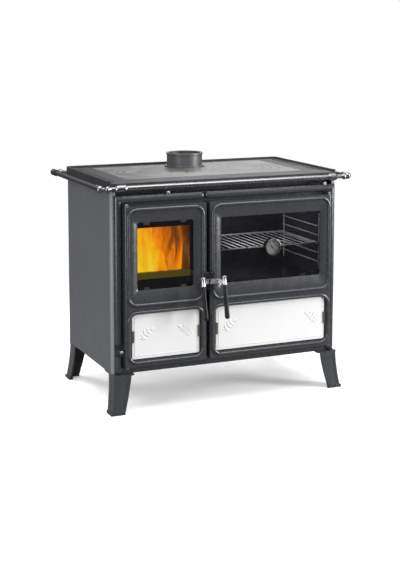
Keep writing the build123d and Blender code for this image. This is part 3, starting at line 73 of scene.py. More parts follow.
camera_data = bpy.data.cameras.new("stove_camera")
camera_data.sensor_width = sensor_width
camera_data.lens = focal_in_pixels * sensor_width / photo_long_side
camera_data.shift_y = -0.20
camera = bpy.data.objects.new("stove_camera", camera_data)
camera.location = camera_place
camera.rotation_euler = (math.pi / 2 - camera_tilt, 0, -camera_yaw)
bpy.context.scene.collection.objects.link(camera)
bpy.context.scene.camera = camera
print("lens", round(camera_data.lens, 1), "mm")

# %% [markdown]
# ## The studio
# A stove of dark enamel shows only what it reflects, so the light matters more than the
# paint. A picture of a real studio could light it all at once, but lights placed one by
# one can each be turned to the one face or edge they are for. The room is white where the
# camera looks at it, but much darker near the horizon for reflections, so that glass
# and chrome keep their blacks.

# %% Room
scene = bpy.context.scene
scene.view_settings.view_transform = "Standard"
world = bpy.data.worlds.new("studio")
scene.world = world
world.use_nodes = True
sky = world.node_tree
sky.nodes.clear()
sky_out = sky.nodes.new("ShaderNodeOutputWorld")
seen = sky.nodes.new("ShaderNodeBackground")
seen.inputs["Color"].default_value = (1, 1, 1, 1)
reflected = sky.nodes.new("ShaderNodeBackground")
reflected.inputs["Strength"].default_value = 0.8
height_ramp = sky.nodes.new("ShaderNodeValToRGB")
height_ramp.color_ramp.elements[0].position = 0.54
height_ramp.color_ramp.elements[0].color = (0.13, 0.13, 0.14, 1)
height_ramp.color_ramp.elements[1].position = 0.92
height_ramp.color_ramp.elements[1].color = (0.95, 0.96, 0.98, 1)
direction = sky.nodes.new("ShaderNodeTexCoord")
split_direction = sky.nodes.new("ShaderNodeSeparateXYZ")
half_up = sky.nodes.new("ShaderNodeMath")
half_up.operation = "MULTIPLY_ADD"
half_up.inputs[1].default_value = 0.5
half_up.inputs[2].default_value = 0.5
which_ray = sky.nodes.new("ShaderNodeLightPath")
room_mix = sky.nodes.new("ShaderNodeMixShader")
sky.links.new(direction.outputs["Generated"], split_direction.inputs[0])
sky.links.new(split_direction.outputs["Z"], half_up.inputs[0])
sky.links.new(half_up.outputs[0], height_ramp.inputs[0])
sky.links.new(height_ramp.outputs[0], reflected.inputs["Color"])
sky.links.new(which_ray.outputs["Is Camera Ray"], room_mix.inputs[0])
sky.links.new(reflected.outputs[0], room_mix.inputs[1])
sky.links.new(seen.outputs[0], room_mix.inputs[2])
sky.links.new(room_mix.outputs[0], sky_out.inputs[0])
print("room: white to the eye,", len(height_ramp.color_ramp.elements), "greys in reflections")

# %% [markdown]
# ## The floor
# The stove stands on a wide sheet of studio paper. A single face is enough: it carries
# the shadow, and its finish is made last, when the stove's own tones are settled.

# %% Floor
floor_size = 30
floor_mesh = bpy.data.meshes.new("studio_floor")
half = floor_size / 2
floor_corners = [(-half, -half, 0), (half, -half, 0), (half, half, 0), (-half, half, 0)]
floor_mesh.from_pydata(floor_corners, [], [(0, 1, 2, 3)])
floor = bpy.data.objects.new("studio_floor", floor_mesh)
bpy.context.scene.collection.objects.link(floor)
print("floor", floor_size, "m square")

# %% [markdown]
# ## The lights
# A wide soft light above gives the hob its sheen, a low upright strip at the left
# draws the bright line down the panel's rounded edge, one at the front right draws the
# bright stripe on the flue collar, and one beside the camera lifts the fronts and the
# tiles, from where it can't be mirrored in the glass. One behind at the left greys the
# side panel; it is kept out of reflections, or the polished hob would flash white from
# the other side. One behind at the right gives the back and the plate a little shine. A
# tiny lamp under the oven's roof, also kept out of reflections, stands for light that
# enters by the glass. Area lights are used because their size sets how soft a shadow
# and how wide a reflection they make, as with a real studio lamp.

# %% Lights


def soft_light(name, place, aim, size, watts):
    """A rectangular soft light that looks at a point."""
    data = bpy.data.lights.new(name, "AREA")
    data.shape = "RECTANGLE"
    data.size, data.size_y = size
    data.energy = watts
    lamp = bpy.data.objects.new(name, data)
    lamp.location = place
    lamp.rotation_euler = (Vector(aim) - Vector(place)).to_track_quat("-Z", "Y").to_euler()
    bpy.context.scene.collection.objects.link(lamp)
    return lamp


soft_light("light_above", (-0.1, -0.7, 3.2), (0, 0, 0.8), (3.8, 2.4), 108)
soft_light("light_left", (-2.5, -1.2, 0.74), (-0.46, -0.2, 0.55), (0.45, 1.45), 20)
soft_light("light_right", (3.0, -2.2, 1.2), (0, 0, 0.8), (0.9, 1.9), 138)
soft_light("light_front", (-2.7, -4.1, 1.9), (0, 0, 0.5), (1.6, 1.6), 12)
back_left = soft_light("light_back_left", (-2.1, 3.1, 1.9), (-0.45, 0, 1.0), (1.5, 1.0), 85)
back_left.visible_glossy = False
soft_light("light_behind", (1.6, 2.6, 2.2), (0, 0, 0.9), (1.6, 0.8), 14)
oven_low, oven_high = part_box("oven_liner")
lamp_place = (oven_low.x + 0.10, oven_low.y + 0.07, oven_high.z - 0.05)
lamp_aim = (oven_high.x, oven_high.y - 0.15, oven_low.z + 0.08)
lamp_in_oven = soft_light("lamp_in_oven", lamp_place, lamp_aim, (0.10, 0.05), 2.2)
lamp_in_oven.visible_glossy = False

# %% [markdown]
# ## A few shader tools
# Every finish below is built from the same small moves, so they are written once: a
# place to measure from (the object's own coordinates, in metres), a colour that drifts
# between two shades, a roughness that drifts, a mask between two limits, a clear coat,
# and a grain pushed into the surface normal, over hard edges rounded as paint and
# casting round them. Pictures could do the same, but they repeat and have to be
# unwrapped onto the part; noise measured in the part's own metres does neither, and a
# 2 mm grain is 2 mm on every part.

# %% Materials and noise


def new_finish(name, colour, roughness, metallic=0.0):
    """A material with its shader, ready for detail."""
    material = bpy.data.materials.new(name)
    material.use_nodes = True
    shader = material.node_tree.nodes["Principled BSDF"]
    shader.inputs["Base Color"].default_value = (*colour, 1)
    shader.inputs["Roughness"].default_value = roughness
    shader.inputs["Metallic"].default_value = metallic
    return material, material.node_tree, shader


def measured_from(tree, stretch=(1, 1, 1)):
    """The object's own coordinates in metres, stretched if asked."""
    source = tree.nodes.new("ShaderNodeTexCoord")
    mapping = tree.nodes.new("ShaderNodeMapping")
    mapping.inputs["Scale"].default_value = stretch
    tree.links.new(source.outputs["Object"], mapping.inputs["Vector"])
    return mapping.outputs["Vector"]


def cloudy(tree, size, stretch=(1, 1, 1), detail=4.0, roughness=0.55, distortion=0.0):
    """A noise from 0 to 1 whose lumps are about this size."""
    noise = tree.nodes.new("ShaderNodeTexNoise")
    noise.inputs["Scale"].default_value = 1 / size
    noise.inputs["Detail"].default_value = detail
    noise.inputs["Roughness"].default_value = roughness
    noise.inputs["Distortion"].default_value = distortion
    tree.links.new(measured_from(tree, stretch), noise.inputs["Vector"])
    return noise.outputs["Fac"]


print("a grain of 2 mm is a noise of scale", round(1 / (2 * mm)))

# %% Masks


def stepped(tree, value, low, high, out_low=0.0, out_high=1.0):
    """Maps a value from one range to another, clamped and smoothed."""
    remap = tree.nodes.new("ShaderNodeMapRange")
    remap.interpolation_type = "SMOOTHSTEP"
    remap.inputs["From Min"].default_value = low
    remap.inputs["From Max"].default_value = high
    remap.inputs["To Min"].default_value = out_low
    remap.inputs["To Max"].default_value = out_high
    tree.links.new(value, remap.inputs["Value"])
    return remap.outputs["Result"]


def sums(tree, operation, first, second):
    """One arithmetic step; either side may be a number or another node's output."""
    node = tree.nodes.new("ShaderNodeMath")
    node.operation = operation
    for socket, value in zip(node.inputs, (first, second)):
        if isinstance(value, (int, float)):
            socket.default_value = value
        else:
            tree.links.new(value, socket)
    return node.outputs[0]


def between(tree, value, low, high, soft=0.0004):
    """1 where a value lies between two limits, and 0 outside them."""
    above = stepped(tree, value, low - soft, low + soft)
    below = stepped(tree, value, high - soft, high + soft, 1, 0)
    return sums(tree, "MULTIPLY", above, below)


print("masks: stepped, sums, between")

# %% Colour, gloss and grain


def two_tone(tree, mask, dark, light):
    """Mixes two colours, or a colour and another output, by a mask."""
    mix = tree.nodes.new("ShaderNodeMix")
    mix.data_type = "RGBA"
    tree.links.new(mask, mix.inputs["Factor"])
    for socket, value in ((mix.inputs["A"], dark), (mix.inputs["B"], light)):
        if isinstance(value, tuple):
            socket.default_value = (*value, 1)
        else:
            tree.links.new(value, socket)
    return mix.outputs["Result"]


def tint(shader, mask, dark, light):
    """Gives the shader a colour that drifts between two, by a mask."""
    tree = shader.id_data
    tree.links.new(two_tone(tree, mask, dark, light), shader.inputs["Base Color"])


def gloss(shader, mask, smooth, dull, low=0.3, high=0.7):
    """Gives the shader a roughness that drifts from smooth to dull."""
    tree = shader.id_data
    tree.links.new(stepped(tree, mask, low, high, smooth, dull), shader.inputs["Roughness"])


def topcoat(shader, specular, weight, roughness):
    """Sets how much the surface mirrors, and the clear coat over it."""
    shader.inputs["Specular IOR Level"].default_value = specular
    shader.inputs["Coat Weight"].default_value = weight
    shader.inputs["Coat Roughness"].default_value = roughness


def push_grain(shader, height, depth, edge_radius=0.0):
    """Pushes a height into the normal, over hard edges that are rounded if asked."""
    tree = shader.id_data
    bump = tree.nodes.new("ShaderNodeBump")
    bump.inputs["Distance"].default_value = depth
    tree.links.new(height, bump.inputs["Height"])
    if edge_radius:
        bevel = tree.nodes.new("ShaderNodeBevel")
        bevel.samples = 6
        bevel.inputs["Radius"].default_value = edge_radius
        tree.links.new(bevel.outputs["Normal"], bump.inputs["Normal"])
    tree.links.new(bump.outputs["Normal"], shader.inputs["Normal"])


def tell_finish(*finishes):
    """Prints each finish with the number of shader nodes it took."""
    for finish in finishes:
        print(finish.name, "-", len(finish.node_tree.nodes), "nodes")


print("moves: two_tone, tint, gloss, topcoat, push_grain")

# %% [markdown]
# ## Smooth where it is round, sharp where it is folded
# The parts arrive as facets. Shading every face smooth, but keeping edges that turn by
# more than about thirty degrees sharp, makes posts and rails read as round and sheet
# metal as folded. A bevel would round the edges for real, but it would change the
# measured shape. This way only the shading changes, not a single corner of the mesh.

# %% Smooth shading


def smooth_to(mesh, degrees):
    """Shades a mesh smooth, but keeps edges that turn by more than this sharp."""
    mesh.shade_smooth()
    mesh.set_sharp_from_angle(angle=math.radians(degrees))


fold_angle = 32
for part in nodes.values():
    smooth_to(part.data, fold_angle)
print("smoothed", len(nodes), "parts")

# %% [markdown]
# ## Enamel on sheet steel
# The side panels are sheet steel with a sprayed and fired anthracite coat. Fired coats
# are never quite flat: they carry a fine orange peel about 2 mm across, and long soft
# waves from the sheet beneath. Both are only fractions of a millimetre deep, but they
# are what the reflected light shows. The round bend at the front catches the light as
# a pale line down the stove's corner. The strip light alone draws it too faint, so a
# mask along Y paints that highlight into the coat: the bend is painted paler, and it is
# also made smoother. The waves could be shaped into the mesh, but at such a depth a
# change of the surface normal looks the same.

# %% Anthracite enamel
anthracite, tree, shader = new_finish("anthracite_enamel", (0.115, 0.118, 0.128), 0.40)
drift = two_tone(tree, cloudy(tree, 0.16, detail=3), (0.108, 0.111, 0.120), (0.122, 0.125, 0.135))
panel_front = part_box("left_side_panel")[0].y
bend_end = panel_front + 16 * mm
bend_fade = 9 * mm
along_depth = tree.nodes.new("ShaderNodeSeparateXYZ")
tree.links.new(measured_from(tree), along_depth.inputs[0])
bend_painted_highlight = stepped(tree, along_depth.outputs["Y"], bend_end - bend_fade, bend_end, 1, 0)
# the paler colour on the bend is a painted highlight down the panel's corner
tint(shader, bend_painted_highlight, drift, (0.285, 0.292, 0.31))
flat_roughness = stepped(tree, cloudy(tree, 0.07), 0.3, 0.7, 0.38, 0.48)
bend_roughness = sums(tree, "SUBTRACT", flat_roughness, sums(tree, "MULTIPLY", bend_painted_highlight, 0.12))
tree.links.new(bend_roughness, shader.inputs["Roughness"])
peel = cloudy(tree, 0.0024, detail=2)
waves = cloudy(tree, 0.22, detail=1)
sheet = sums(tree, "ADD", sums(tree, "MULTIPLY", waves, 6), peel)
push_grain(shader, sheet, 0.00006, 0.0008)
topcoat(shader, 0.28, 0.08, 0.30)
tell_finish(anthracite)

# %% [markdown]
# ## Black enamel on cast iron
# The fronts, doors and legs are cast in sand. The sand leaves a fine irregular skin
# that the enamel follows, so the grain here is rougher than on sheet, with slow
# ripples under it. A grain this fine would take millions of points as real height, so
# it is only in the normal. The enamel pools into a thin gloss, which a clear coat gives.

# %% Black casting
casting, tree, shader = new_finish("black_casting", (0.040, 0.042, 0.046), 0.25)
tint(shader, cloudy(tree, 0.05), (0.036, 0.038, 0.042), (0.044, 0.046, 0.051))
gloss(shader, cloudy(tree, 0.03), 0.23, 0.30)
sand = cloudy(tree, 0.0016, detail=2)
ripples = cloudy(tree, 0.012, detail=2)
push_grain(shader, sums(tree, "ADD", sand, sums(tree, "MULTIPLY", ripples, 0.8)), 0.000018)
topcoat(shader, 0.62, 0.35, 0.16)
tell_finish(casting)

# %% [markdown]
# ## The hob plate
# The plate is cast iron ground flat and rubbed with stove oil. Grinding leaves a fine
# lay of scratches, all in one direction, and heat leaves clouds, warmer where they are
# pale. A noise stretched some thirty times along X makes the lay. The turned grooves and
# the seams round the ring and the lid barely show in the shading, so a mask of rings
# about each cooking zone paints them dark: painted shade in the grooves and seams. The
# lines could be thin dark meshes instead, but a mask needs no extra piece and follows
# the plate exactly. Its centre comes from the measured ring, and the radii are in
# millimetres.

# %% Ground iron
ring_low, ring_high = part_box("hob_ring")
zone_x, zone_y = (ring_low.x + ring_high.x) / 2, (ring_low.y + ring_high.y) / 2
seam_half = 1.4 * mm
fire_zone_rings = (66, 123, 130, 150)
oven_zone_rings = (60, 90, 120, 150)

ground_iron, tree, shader = new_finish("ground_iron", (0.23, 0.22, 0.21), 0.42, 0.75)
lay = cloudy(tree, 0.0012, stretch=(0.03, 1, 1), detail=3, roughness=0.7)
clouds = cloudy(tree, 0.11, detail=5)
grey = two_tone(tree, stepped(tree, clouds, 0.35, 0.7), (0.19, 0.185, 0.18), (0.30, 0.288, 0.27))
scratched = two_tone(tree, sums(tree, "MULTIPLY", lay, 0.45), grey, (0.12, 0.115, 0.11))
flat_place = tree.nodes.new("ShaderNodeVectorMath")
flat_place.operation = "MULTIPLY"
flat_place.inputs[1].default_value = (1, 1, 0)
tree.links.new(measured_from(tree), flat_place.inputs[0])
# the dark rings on the grooves and seams are painted shade
groove_shade = 0.0
zones = (((zone_x, zone_y, 0), fire_zone_rings), ((-zone_x, zone_y, 0), oven_zone_rings))
for centre, ring_radii in zones:
    from_centre = tree.nodes.new("ShaderNodeVectorMath")
    from_centre.operation = "DISTANCE"
    from_centre.inputs[1].default_value = centre
    tree.links.new(flat_place.outputs[0], from_centre.inputs[0])
    for ring_radius in ring_radii:
        reach = ring_radius * mm
        from_zone = from_centre.outputs["Value"]
        on_ring = between(tree, from_zone, reach - seam_half, reach + seam_half, 0.0008)
        groove_shade = sums(tree, "MAXIMUM", groove_shade, on_ring)
tint(shader, sums(tree, "MULTIPLY", groove_shade, 0.75), scratched, (0.03, 0.028, 0.027))
oiled = sums(tree, "ADD", clouds, sums(tree, "MULTIPLY", lay, 0.4))
gloss(shader, oiled, 0.36, 0.55, 0.4, 1.0)
push_grain(shader, lay, 0.00005, 0.0006)
tell_finish(ground_iron)

# %% [markdown]
# ## The hob frame
# The frame round the plate is enamelled like the doors, but it lies flat under the
# light and is wiped daily, so it looks greyer and shows faint wiping marks. The doors'
# gloss would mirror the light above as a hard white patch, so the frame gets its own
# duller finish, with a noise drawn out along X for the marks.

# %% Hob frame enamel
hob_enamel, tree, shader = new_finish("hob_enamel", (0.055, 0.056, 0.058), 0.40)
wipes = cloudy(tree, 0.02, stretch=(0.25, 1, 1), detail=4)
tint(shader, wipes, (0.027, 0.028, 0.029), (0.043, 0.043, 0.045))
gloss(shader, wipes, 0.42, 0.55)
push_grain(shader, cloudy(tree, 0.0012, detail=3, roughness=0.7), 0.00007, 0.0012)
topcoat(shader, 0.25, 0.05, 0.25)
tell_finish(hob_enamel)

# %% [markdown]
# ## The flue collar and the handle forks
# The collar is turned after casting and coated with silver-grey heatproof paint, so it
# carries faint rings and a broad metallic sheen. A noise that is fine along Z and drawn
# out along X and Y makes the rings without a seam. The forks that hold the handles are
# the blackest pieces on the front: small smooth castings with a glossy black coat.

# %% Collar paint
collar_paint, tree, shader = new_finish("collar_paint", (0.15, 0.15, 0.155), 0.36, 0.55)
turning = cloudy(tree, 0.0012, stretch=(0.05, 0.05, 1), detail=2)
tint(shader, turning, (0.095, 0.095, 0.10), (0.14, 0.14, 0.145))
gloss(shader, cloudy(tree, 0.03), 0.38, 0.48)
push_grain(shader, turning, 0.00003, 0.0010)
tell_finish(collar_paint)

# %% Fork gloss
fork_gloss, tree, shader = new_finish("fork_gloss", (0.010, 0.010, 0.011), 0.22)
tint(shader, cloudy(tree, 0.02), (0.008, 0.008, 0.009), (0.014, 0.014, 0.015))
gloss(shader, cloudy(tree, 0.008), 0.18, 0.30)
push_grain(shader, cloudy(tree, 0.002, detail=2), 0.00003, 0.0010)
tell_finish(fork_gloss)

# %% [markdown]
# ## Polished chrome
# Rails, thermometer ring and oven wires are plated. Real plating is nearly a mirror:
# what breaks it is a haze of wiping scratches and fingerprints, which change the
# roughness by only about a tenth. One chrome could serve for all, but the levers get a
# copy painted brighter than the rails, and the dial's ring a copy painted darker: painted
# light and shade that set their tones, not a difference in the plating. The wires, which
# oven heat has dulled, are paler and less of a mirror.

# %% Chrome of the rails
chrome, tree, shader = new_finish("polished_chrome", (0.24, 0.24, 0.25), 0.16, 1.0)
haze = cloudy(tree, 0.012, detail=5, distortion=0.6)
gloss(shader, haze, 0.20, 0.30, 0.35, 0.75)
tint(shader, haze, (0.22, 0.22, 0.23), (0.27, 0.27, 0.28))
push_grain(shader, cloudy(tree, 0.03, detail=1), 0.00001)
tell_finish(chrome)

# %% Chrome of the levers and the dial's ring
# the levers' chrome is a copy of the rails' chrome, painted brighter
lever_chrome_painted_brighter, tree, shader = new_finish("lever_chrome_painted_brighter", (0.60, 0.60, 0.61), 0.24, 0.8)
gloss(shader, cloudy(tree, 0.008, detail=4), 0.20, 0.32, 0.35, 0.75)
tint(shader, cloudy(tree, 0.01), (0.55, 0.55, 0.56), (0.64, 0.64, 0.65))
push_grain(shader, cloudy(tree, 0.02, detail=1), 0.00001)

# the dial ring's chrome is a copy of the rails' chrome, painted darker
ring_chrome_painted_darker, tree, shader = new_finish("dial_ring_chrome", (0.20, 0.20, 0.21), 0.20, 1.0)
gloss(shader, cloudy(tree, 0.006), 0.17, 0.26, 0.35, 0.75)
tint(shader, cloudy(tree, 0.01), (0.18, 0.18, 0.19), (0.23, 0.23, 0.24))
push_grain(shader, cloudy(tree, 0.02, detail=1), 0.00001)
tell_finish(lever_chrome_painted_brighter, ring_chrome_painted_darker)

# %% Plated wire
plated_wire, tree, shader = new_finish("plated_wire", (0.50, 0.50, 0.51), 0.30, 0.6)
tint(shader, cloudy(tree, 0.01), (0.36, 0.36, 0.37), (0.46, 0.46, 0.47))
gloss(shader, cloudy(tree, 0.02), 0.26, 0.38)
push_grain(shader, cloudy(tree, 0.004, detail=2), 0.00001)
tell_finish(plated_wire)

# %% [markdown]
# ## The plain working metals
# Inside, nobody polishes anything. The tray and the casing are painted with heatproof
# black, the back sheet and the ash drawer are zinc-coated, with the zinc's flat
# crystals showing, and pins and rods are turned steel with rings from the lathe tool.
# The tiles' clips are spring steel browned by heat, the fire glass has dull zinc clips,
# and the oven is lined with black enamel that carries pale specks. Most of this is seen
# only through slots and open doors, so each finish gets two or three moves.

# %% Heatproof paint and zinc
dark_steel, tree, shader = new_finish("heatproof_paint", (0.045, 0.045, 0.046), 0.62)
tint(shader, cloudy(tree, 0.03), (0.035, 0.035, 0.036), (0.062, 0.060, 0.058))
push_grain(shader, cloudy(tree, 0.0009, detail=2), 0.00006, 0.0006)

zinc, tree, shader = new_finish("zinc_coat", (0.42, 0.43, 0.44), 0.42, 0.9)
crystals = tree.nodes.new("ShaderNodeTexVoronoi")
crystals.inputs["Scale"].default_value = 1 / 0.014
tree.links.new(measured_from(tree), crystals.inputs["Vector"])
spangle = tree.nodes.new("ShaderNodeSeparateColor")
tree.links.new(crystals.outputs["Color"], spangle.inputs[0])
tint(shader, spangle.outputs[0], (0.36, 0.37, 0.38), (0.50, 0.51, 0.52))
gloss(shader, spangle.outputs[1], 0.34, 0.52, 0.0, 1.0)
push_grain(shader, cloudy(tree, 0.004, detail=3), 0.00004, 0.0006)
tell_finish(dark_steel, zinc)

# %% Turned steel
turned_steel, tree, shader = new_finish("turned_steel", (0.50, 0.50, 0.51), 0.28, 1.0)
rings = cloudy(tree, 0.0008, stretch=(0.2, 1, 1), detail=2)
gloss(shader, rings, 0.22, 0.40)
tint(shader, cloudy(tree, 0.01), (0.44, 0.44, 0.45), (0.56, 0.56, 0.57))
push_grain(shader, rings, 0.00003, 0.0004)
tell_finish(turned_steel)

# %% Clips
warm_steel, tree, shader = new_finish("warm_spring_steel", (0.20, 0.16, 0.12), 0.36, 0.9)
tint(shader, cloudy(tree, 0.008), (0.16, 0.125, 0.09), (0.26, 0.215, 0.17))
push_grain(shader, cloudy(tree, 0.0006, stretch=(1, 1, 0.1)), 0.00004, 0.0004)

clip_zinc, tree, shader = new_finish("clip_zinc", (0.34, 0.34, 0.335), 0.45, 0.3)
tint(shader, cloudy(tree, 0.005), (0.28, 0.28, 0.275), (0.40, 0.40, 0.395))
push_grain(shader, cloudy(tree, 0.0008), 0.00003, 0.0004)
tell_finish(warm_steel, clip_zinc)

# %% Oven enamel
oven_enamel, tree, shader = new_finish("oven_enamel", (0.014, 0.014, 0.017), 0.16)
specks = stepped(tree, cloudy(tree, 0.0016, detail=1), 0.70, 0.74)
tint(shader, specks, (0.012, 0.012, 0.016), (0.16, 0.16, 0.17))
gloss(shader, cloudy(tree, 0.06), 0.12, 0.26)
push_grain(shader, cloudy(tree, 0.004, detail=2), 0.00005, 0.0010)
tell_finish(oven_enamel)

# %% [markdown]
# ## Fired clay, grip resin, rope seal
# The lining bricks are pale fireclay with darker grog in it, browned where flames lick
# them. The grips are a heatproof black resin with a moulded satin skin. The rope seal
# is a braid: two sets of slanting threads that cross, which two wave textures make. It
# could be modelled thread by thread, but it is seen only round the edge of an open door.

# %% Fireclay
fireclay, tree, shader = new_finish("fireclay", (0.48, 0.40, 0.30), 0.9)
grog = stepped(tree, cloudy(tree, 0.0035, detail=3, roughness=0.7), 0.56, 0.64)
scorch = stepped(tree, cloudy(tree, 0.09, detail=3), 0.40, 0.66)
clay_colour = two_tone(tree, grog, (0.50, 0.42, 0.32), (0.27, 0.20, 0.14))
tint(shader, scorch, clay_colour, (0.16, 0.12, 0.09))
push_grain(shader, cloudy(tree, 0.003, detail=6, roughness=0.7), 0.0006, 0.002)
tell_finish(fireclay)

# %% Grip resin
grip_resin, tree, shader = new_finish("grip_resin", (0.007, 0.007, 0.008), 0.30)
gloss(shader, cloudy(tree, 0.012), 0.28, 0.42)
tint(shader, cloudy(tree, 0.02), (0.006, 0.006, 0.007), (0.009, 0.009, 0.010))
push_grain(shader, cloudy(tree, 0.0008, detail=2), 0.00004, 0.0008)
shader.inputs["Specular IOR Level"].default_value = 0.25
tell_finish(grip_resin)

# %% Rope seal
rope, tree, shader = new_finish("braided_rope", (0.24, 0.235, 0.22), 0.92)
threads = []
for slant in (-45, 45):
    wave = tree.nodes.new("ShaderNodeTexWave")
    wave.inputs["Scale"].default_value = 130
    turned = tree.nodes.new("ShaderNodeMapping")
    turned.inputs["Rotation"].default_value = (0, math.radians(slant), 0)
    tree.links.new(measured_from(tree), turned.inputs["Vector"])
    tree.links.new(turned.outputs["Vector"], wave.inputs["Vector"])
    threads.append(wave.outputs["Fac"])
weave = sums(tree, "MAXIMUM", *threads)
tint(shader, weave, (0.10, 0.098, 0.09), (0.34, 0.33, 0.31))
push_grain(shader, weave, 0.0006)
tell_finish(rope)

# %% [markdown]
# ## Glass
# Stove glass is a ceramic that stays clear in the fire. What the eye sees is dark
# space behind it, a clean reflection in front, and a slight smoky film. A full glass
# shader bends light and blocks lamps, which a thin flat pane hardly does, so the pane is
# a plain mix of clear and mirror, with more mirror at shallow angles. The fire's pane
# has a black border printed on its back, wider at the bottom, with small gaps where
# the steel clips grip it, and above the border a brown band where tar settles, because
# the wash of air is weakest there. The border is a mask made from plain comparisons of
# X and Z. The lens of the thermometer is ordinary clear glass.

# %% Printed border


def printed_border(tree, clear_x, clear_z, gap_columns, gap_rows):
    """1 on the printed border, 0 in the clear field and in the gaps at the clips."""
    place = tree.nodes.new("ShaderNodeSeparateXYZ")
    tree.links.new(measured_from(tree), place.inputs[0])
    across, up = place.outputs["X"], place.outputs["Z"]
    in_columns = between(tree, across, *clear_x)
    open_part = sums(tree, "MULTIPLY", in_columns, between(tree, up, *clear_z))
    for column in gap_columns:
        for row in gap_rows:
            in_column = between(tree, across, *column)
            gap = sums(tree, "MULTIPLY", in_column, between(tree, up, *row))
            open_part = sums(tree, "MAXIMUM", open_part, gap)
    return sums(tree, "SUBTRACT", 1, open_part), up


print("border: 1 where it is printed, 0 where the pane is clear")

# %% A pane's finish


def glass_finish(name, colour, film_amount, border=None, tar_top=0.0):
    """Thin glass: mostly clear, a mirror at shallow angles, with a faint film on it."""
    material = bpy.data.materials.new(name)
    material.use_nodes = True
    tree = material.node_tree
    shader = tree.nodes["Principled BSDF"]
    shader.inputs["Base Color"].default_value = (0.004, 0.004, 0.004, 1)
    shader.inputs["Roughness"].default_value = 0.12
    clear = tree.nodes.new("ShaderNodeBsdfTransparent")
    clear.inputs["Color"].default_value = (*colour, 1)
    mirror = tree.nodes.new("ShaderNodeBsdfGlossy")
    mirror.inputs["Roughness"].default_value = 0.03
    fresnel = tree.nodes.new("ShaderNodeFresnel")
    fresnel.inputs["IOR"].default_value = 1.26
    pane = tree.nodes.new("ShaderNodeMixShader")
    tree.links.new(fresnel.outputs[0], pane.inputs[0])
    tree.links.new(clear.outputs[0], pane.inputs[1])
    tree.links.new(mirror.outputs[0], pane.inputs[2])
    film = tree.nodes.new("ShaderNodeBsdfDiffuse")
    film.inputs["Color"].default_value = (0.05, 0.045, 0.04, 1)
    smoke = stepped(tree, cloudy(tree, 0.09, detail=4), 0.35, 0.75, 0.0, film_amount)
    filmed = tree.nodes.new("ShaderNodeMixShader")
    tree.links.new(smoke, filmed.inputs[0])
    tree.links.new(pane.outputs[0], filmed.inputs[1])
    tree.links.new(film.outputs[0], filmed.inputs[2])
    surface = filmed.outputs[0]
    if border:
        print_mask, up = printed_border(tree, *border)
        tar = tree.nodes.new("ShaderNodeBsdfDiffuse")
        tar.inputs["Color"].default_value = (0.060, 0.047, 0.012, 1)
        ragged = sums(tree, "MULTIPLY", cloudy(tree, 0.02, stretch=(1, 1, 2)), 0.006)
        tar_edge = sums(tree, "ADD", up, ragged)
        below_top = stepped(tree, tar_edge, tar_top - 0.001, tar_top + 0.008, 0.90, 0.0)
        above_border = between(tree, up, border[1][0], tar_top + 0.02)
        tar_mask = sums(tree, "MULTIPLY", below_top, above_border)
        for mask, layer in ((tar_mask, tar.outputs[0]), (print_mask, shader.outputs[0])):
            coat = tree.nodes.new("ShaderNodeMixShader")
            tree.links.new(mask, coat.inputs[0])
            tree.links.new(surface, coat.inputs[1])
            tree.links.new(layer, coat.inputs[2])
            surface = coat.outputs[0]
    tree.links.new(surface, tree.nodes["Material Output"].inputs["Surface"])
    return material


print("a pane is a mix of clear, mirror, film, tar and print")

# %% The three glasses
pane_low, pane_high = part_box("firebox_glass")
clip_low, clip_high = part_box("firebox_glass_clips")
clip_wide, clip_tall = 24 * mm, 35 * mm
clip_room = 0.3 * mm
gap_columns = (
    (clip_low.x - clip_room, clip_low.x + clip_wide + clip_room),
    (clip_high.x - clip_wide - clip_room, clip_high.x + clip_room),
)
gap_rows = (
    (clip_low.z, clip_low.z + clip_tall + clip_room),
    (clip_high.z - clip_tall - clip_room, clip_high.z),
)
clear_x = (pane_low.x + 14 * mm, pane_high.x - 24 * mm)
clear_z = (pane_low.z + 51 * mm, pane_high.z - 33 * mm)
fire_border = (clear_x, clear_z, gap_columns, gap_rows)
tar_top = pane_low.z + 76 * mm
stove_glass = glass_finish("stove_glass", (0.95, 0.94, 0.92), 0.04, fire_border, tar_top)
oven_glass = glass_finish("oven_glass", (0.88, 0.88, 0.89), 0.05)
lens_glass = glass_finish("lens_glass", (0.97, 0.97, 0.97), 0.0)
print("panes:", stove_glass.name, oven_glass.name, lens_glass.name)

# %% [markdown]
# ## Dress the parts
# Each part now takes its finish by name. It could be set where each finish is made, but
# one table reads like a bill of materials, so a wrong finish is easy to spot, and the
# cell stops if a part is forgotten.

# %% Dial white and ink
dial_white, tree, shader = new_finish("dial_white", (0.80, 0.80, 0.77), 0.45)
tint(shader, cloudy(tree, 0.006), (0.77, 0.77, 0.74), (0.83, 0.83, 0.80))
ink, tree, shader = new_finish("dial_ink", (0.02, 0.02, 0.022), 0.5)
gloss(shader, cloudy(tree, 0.001), 0.4, 0.6)
tell_finish(dial_white, ink)

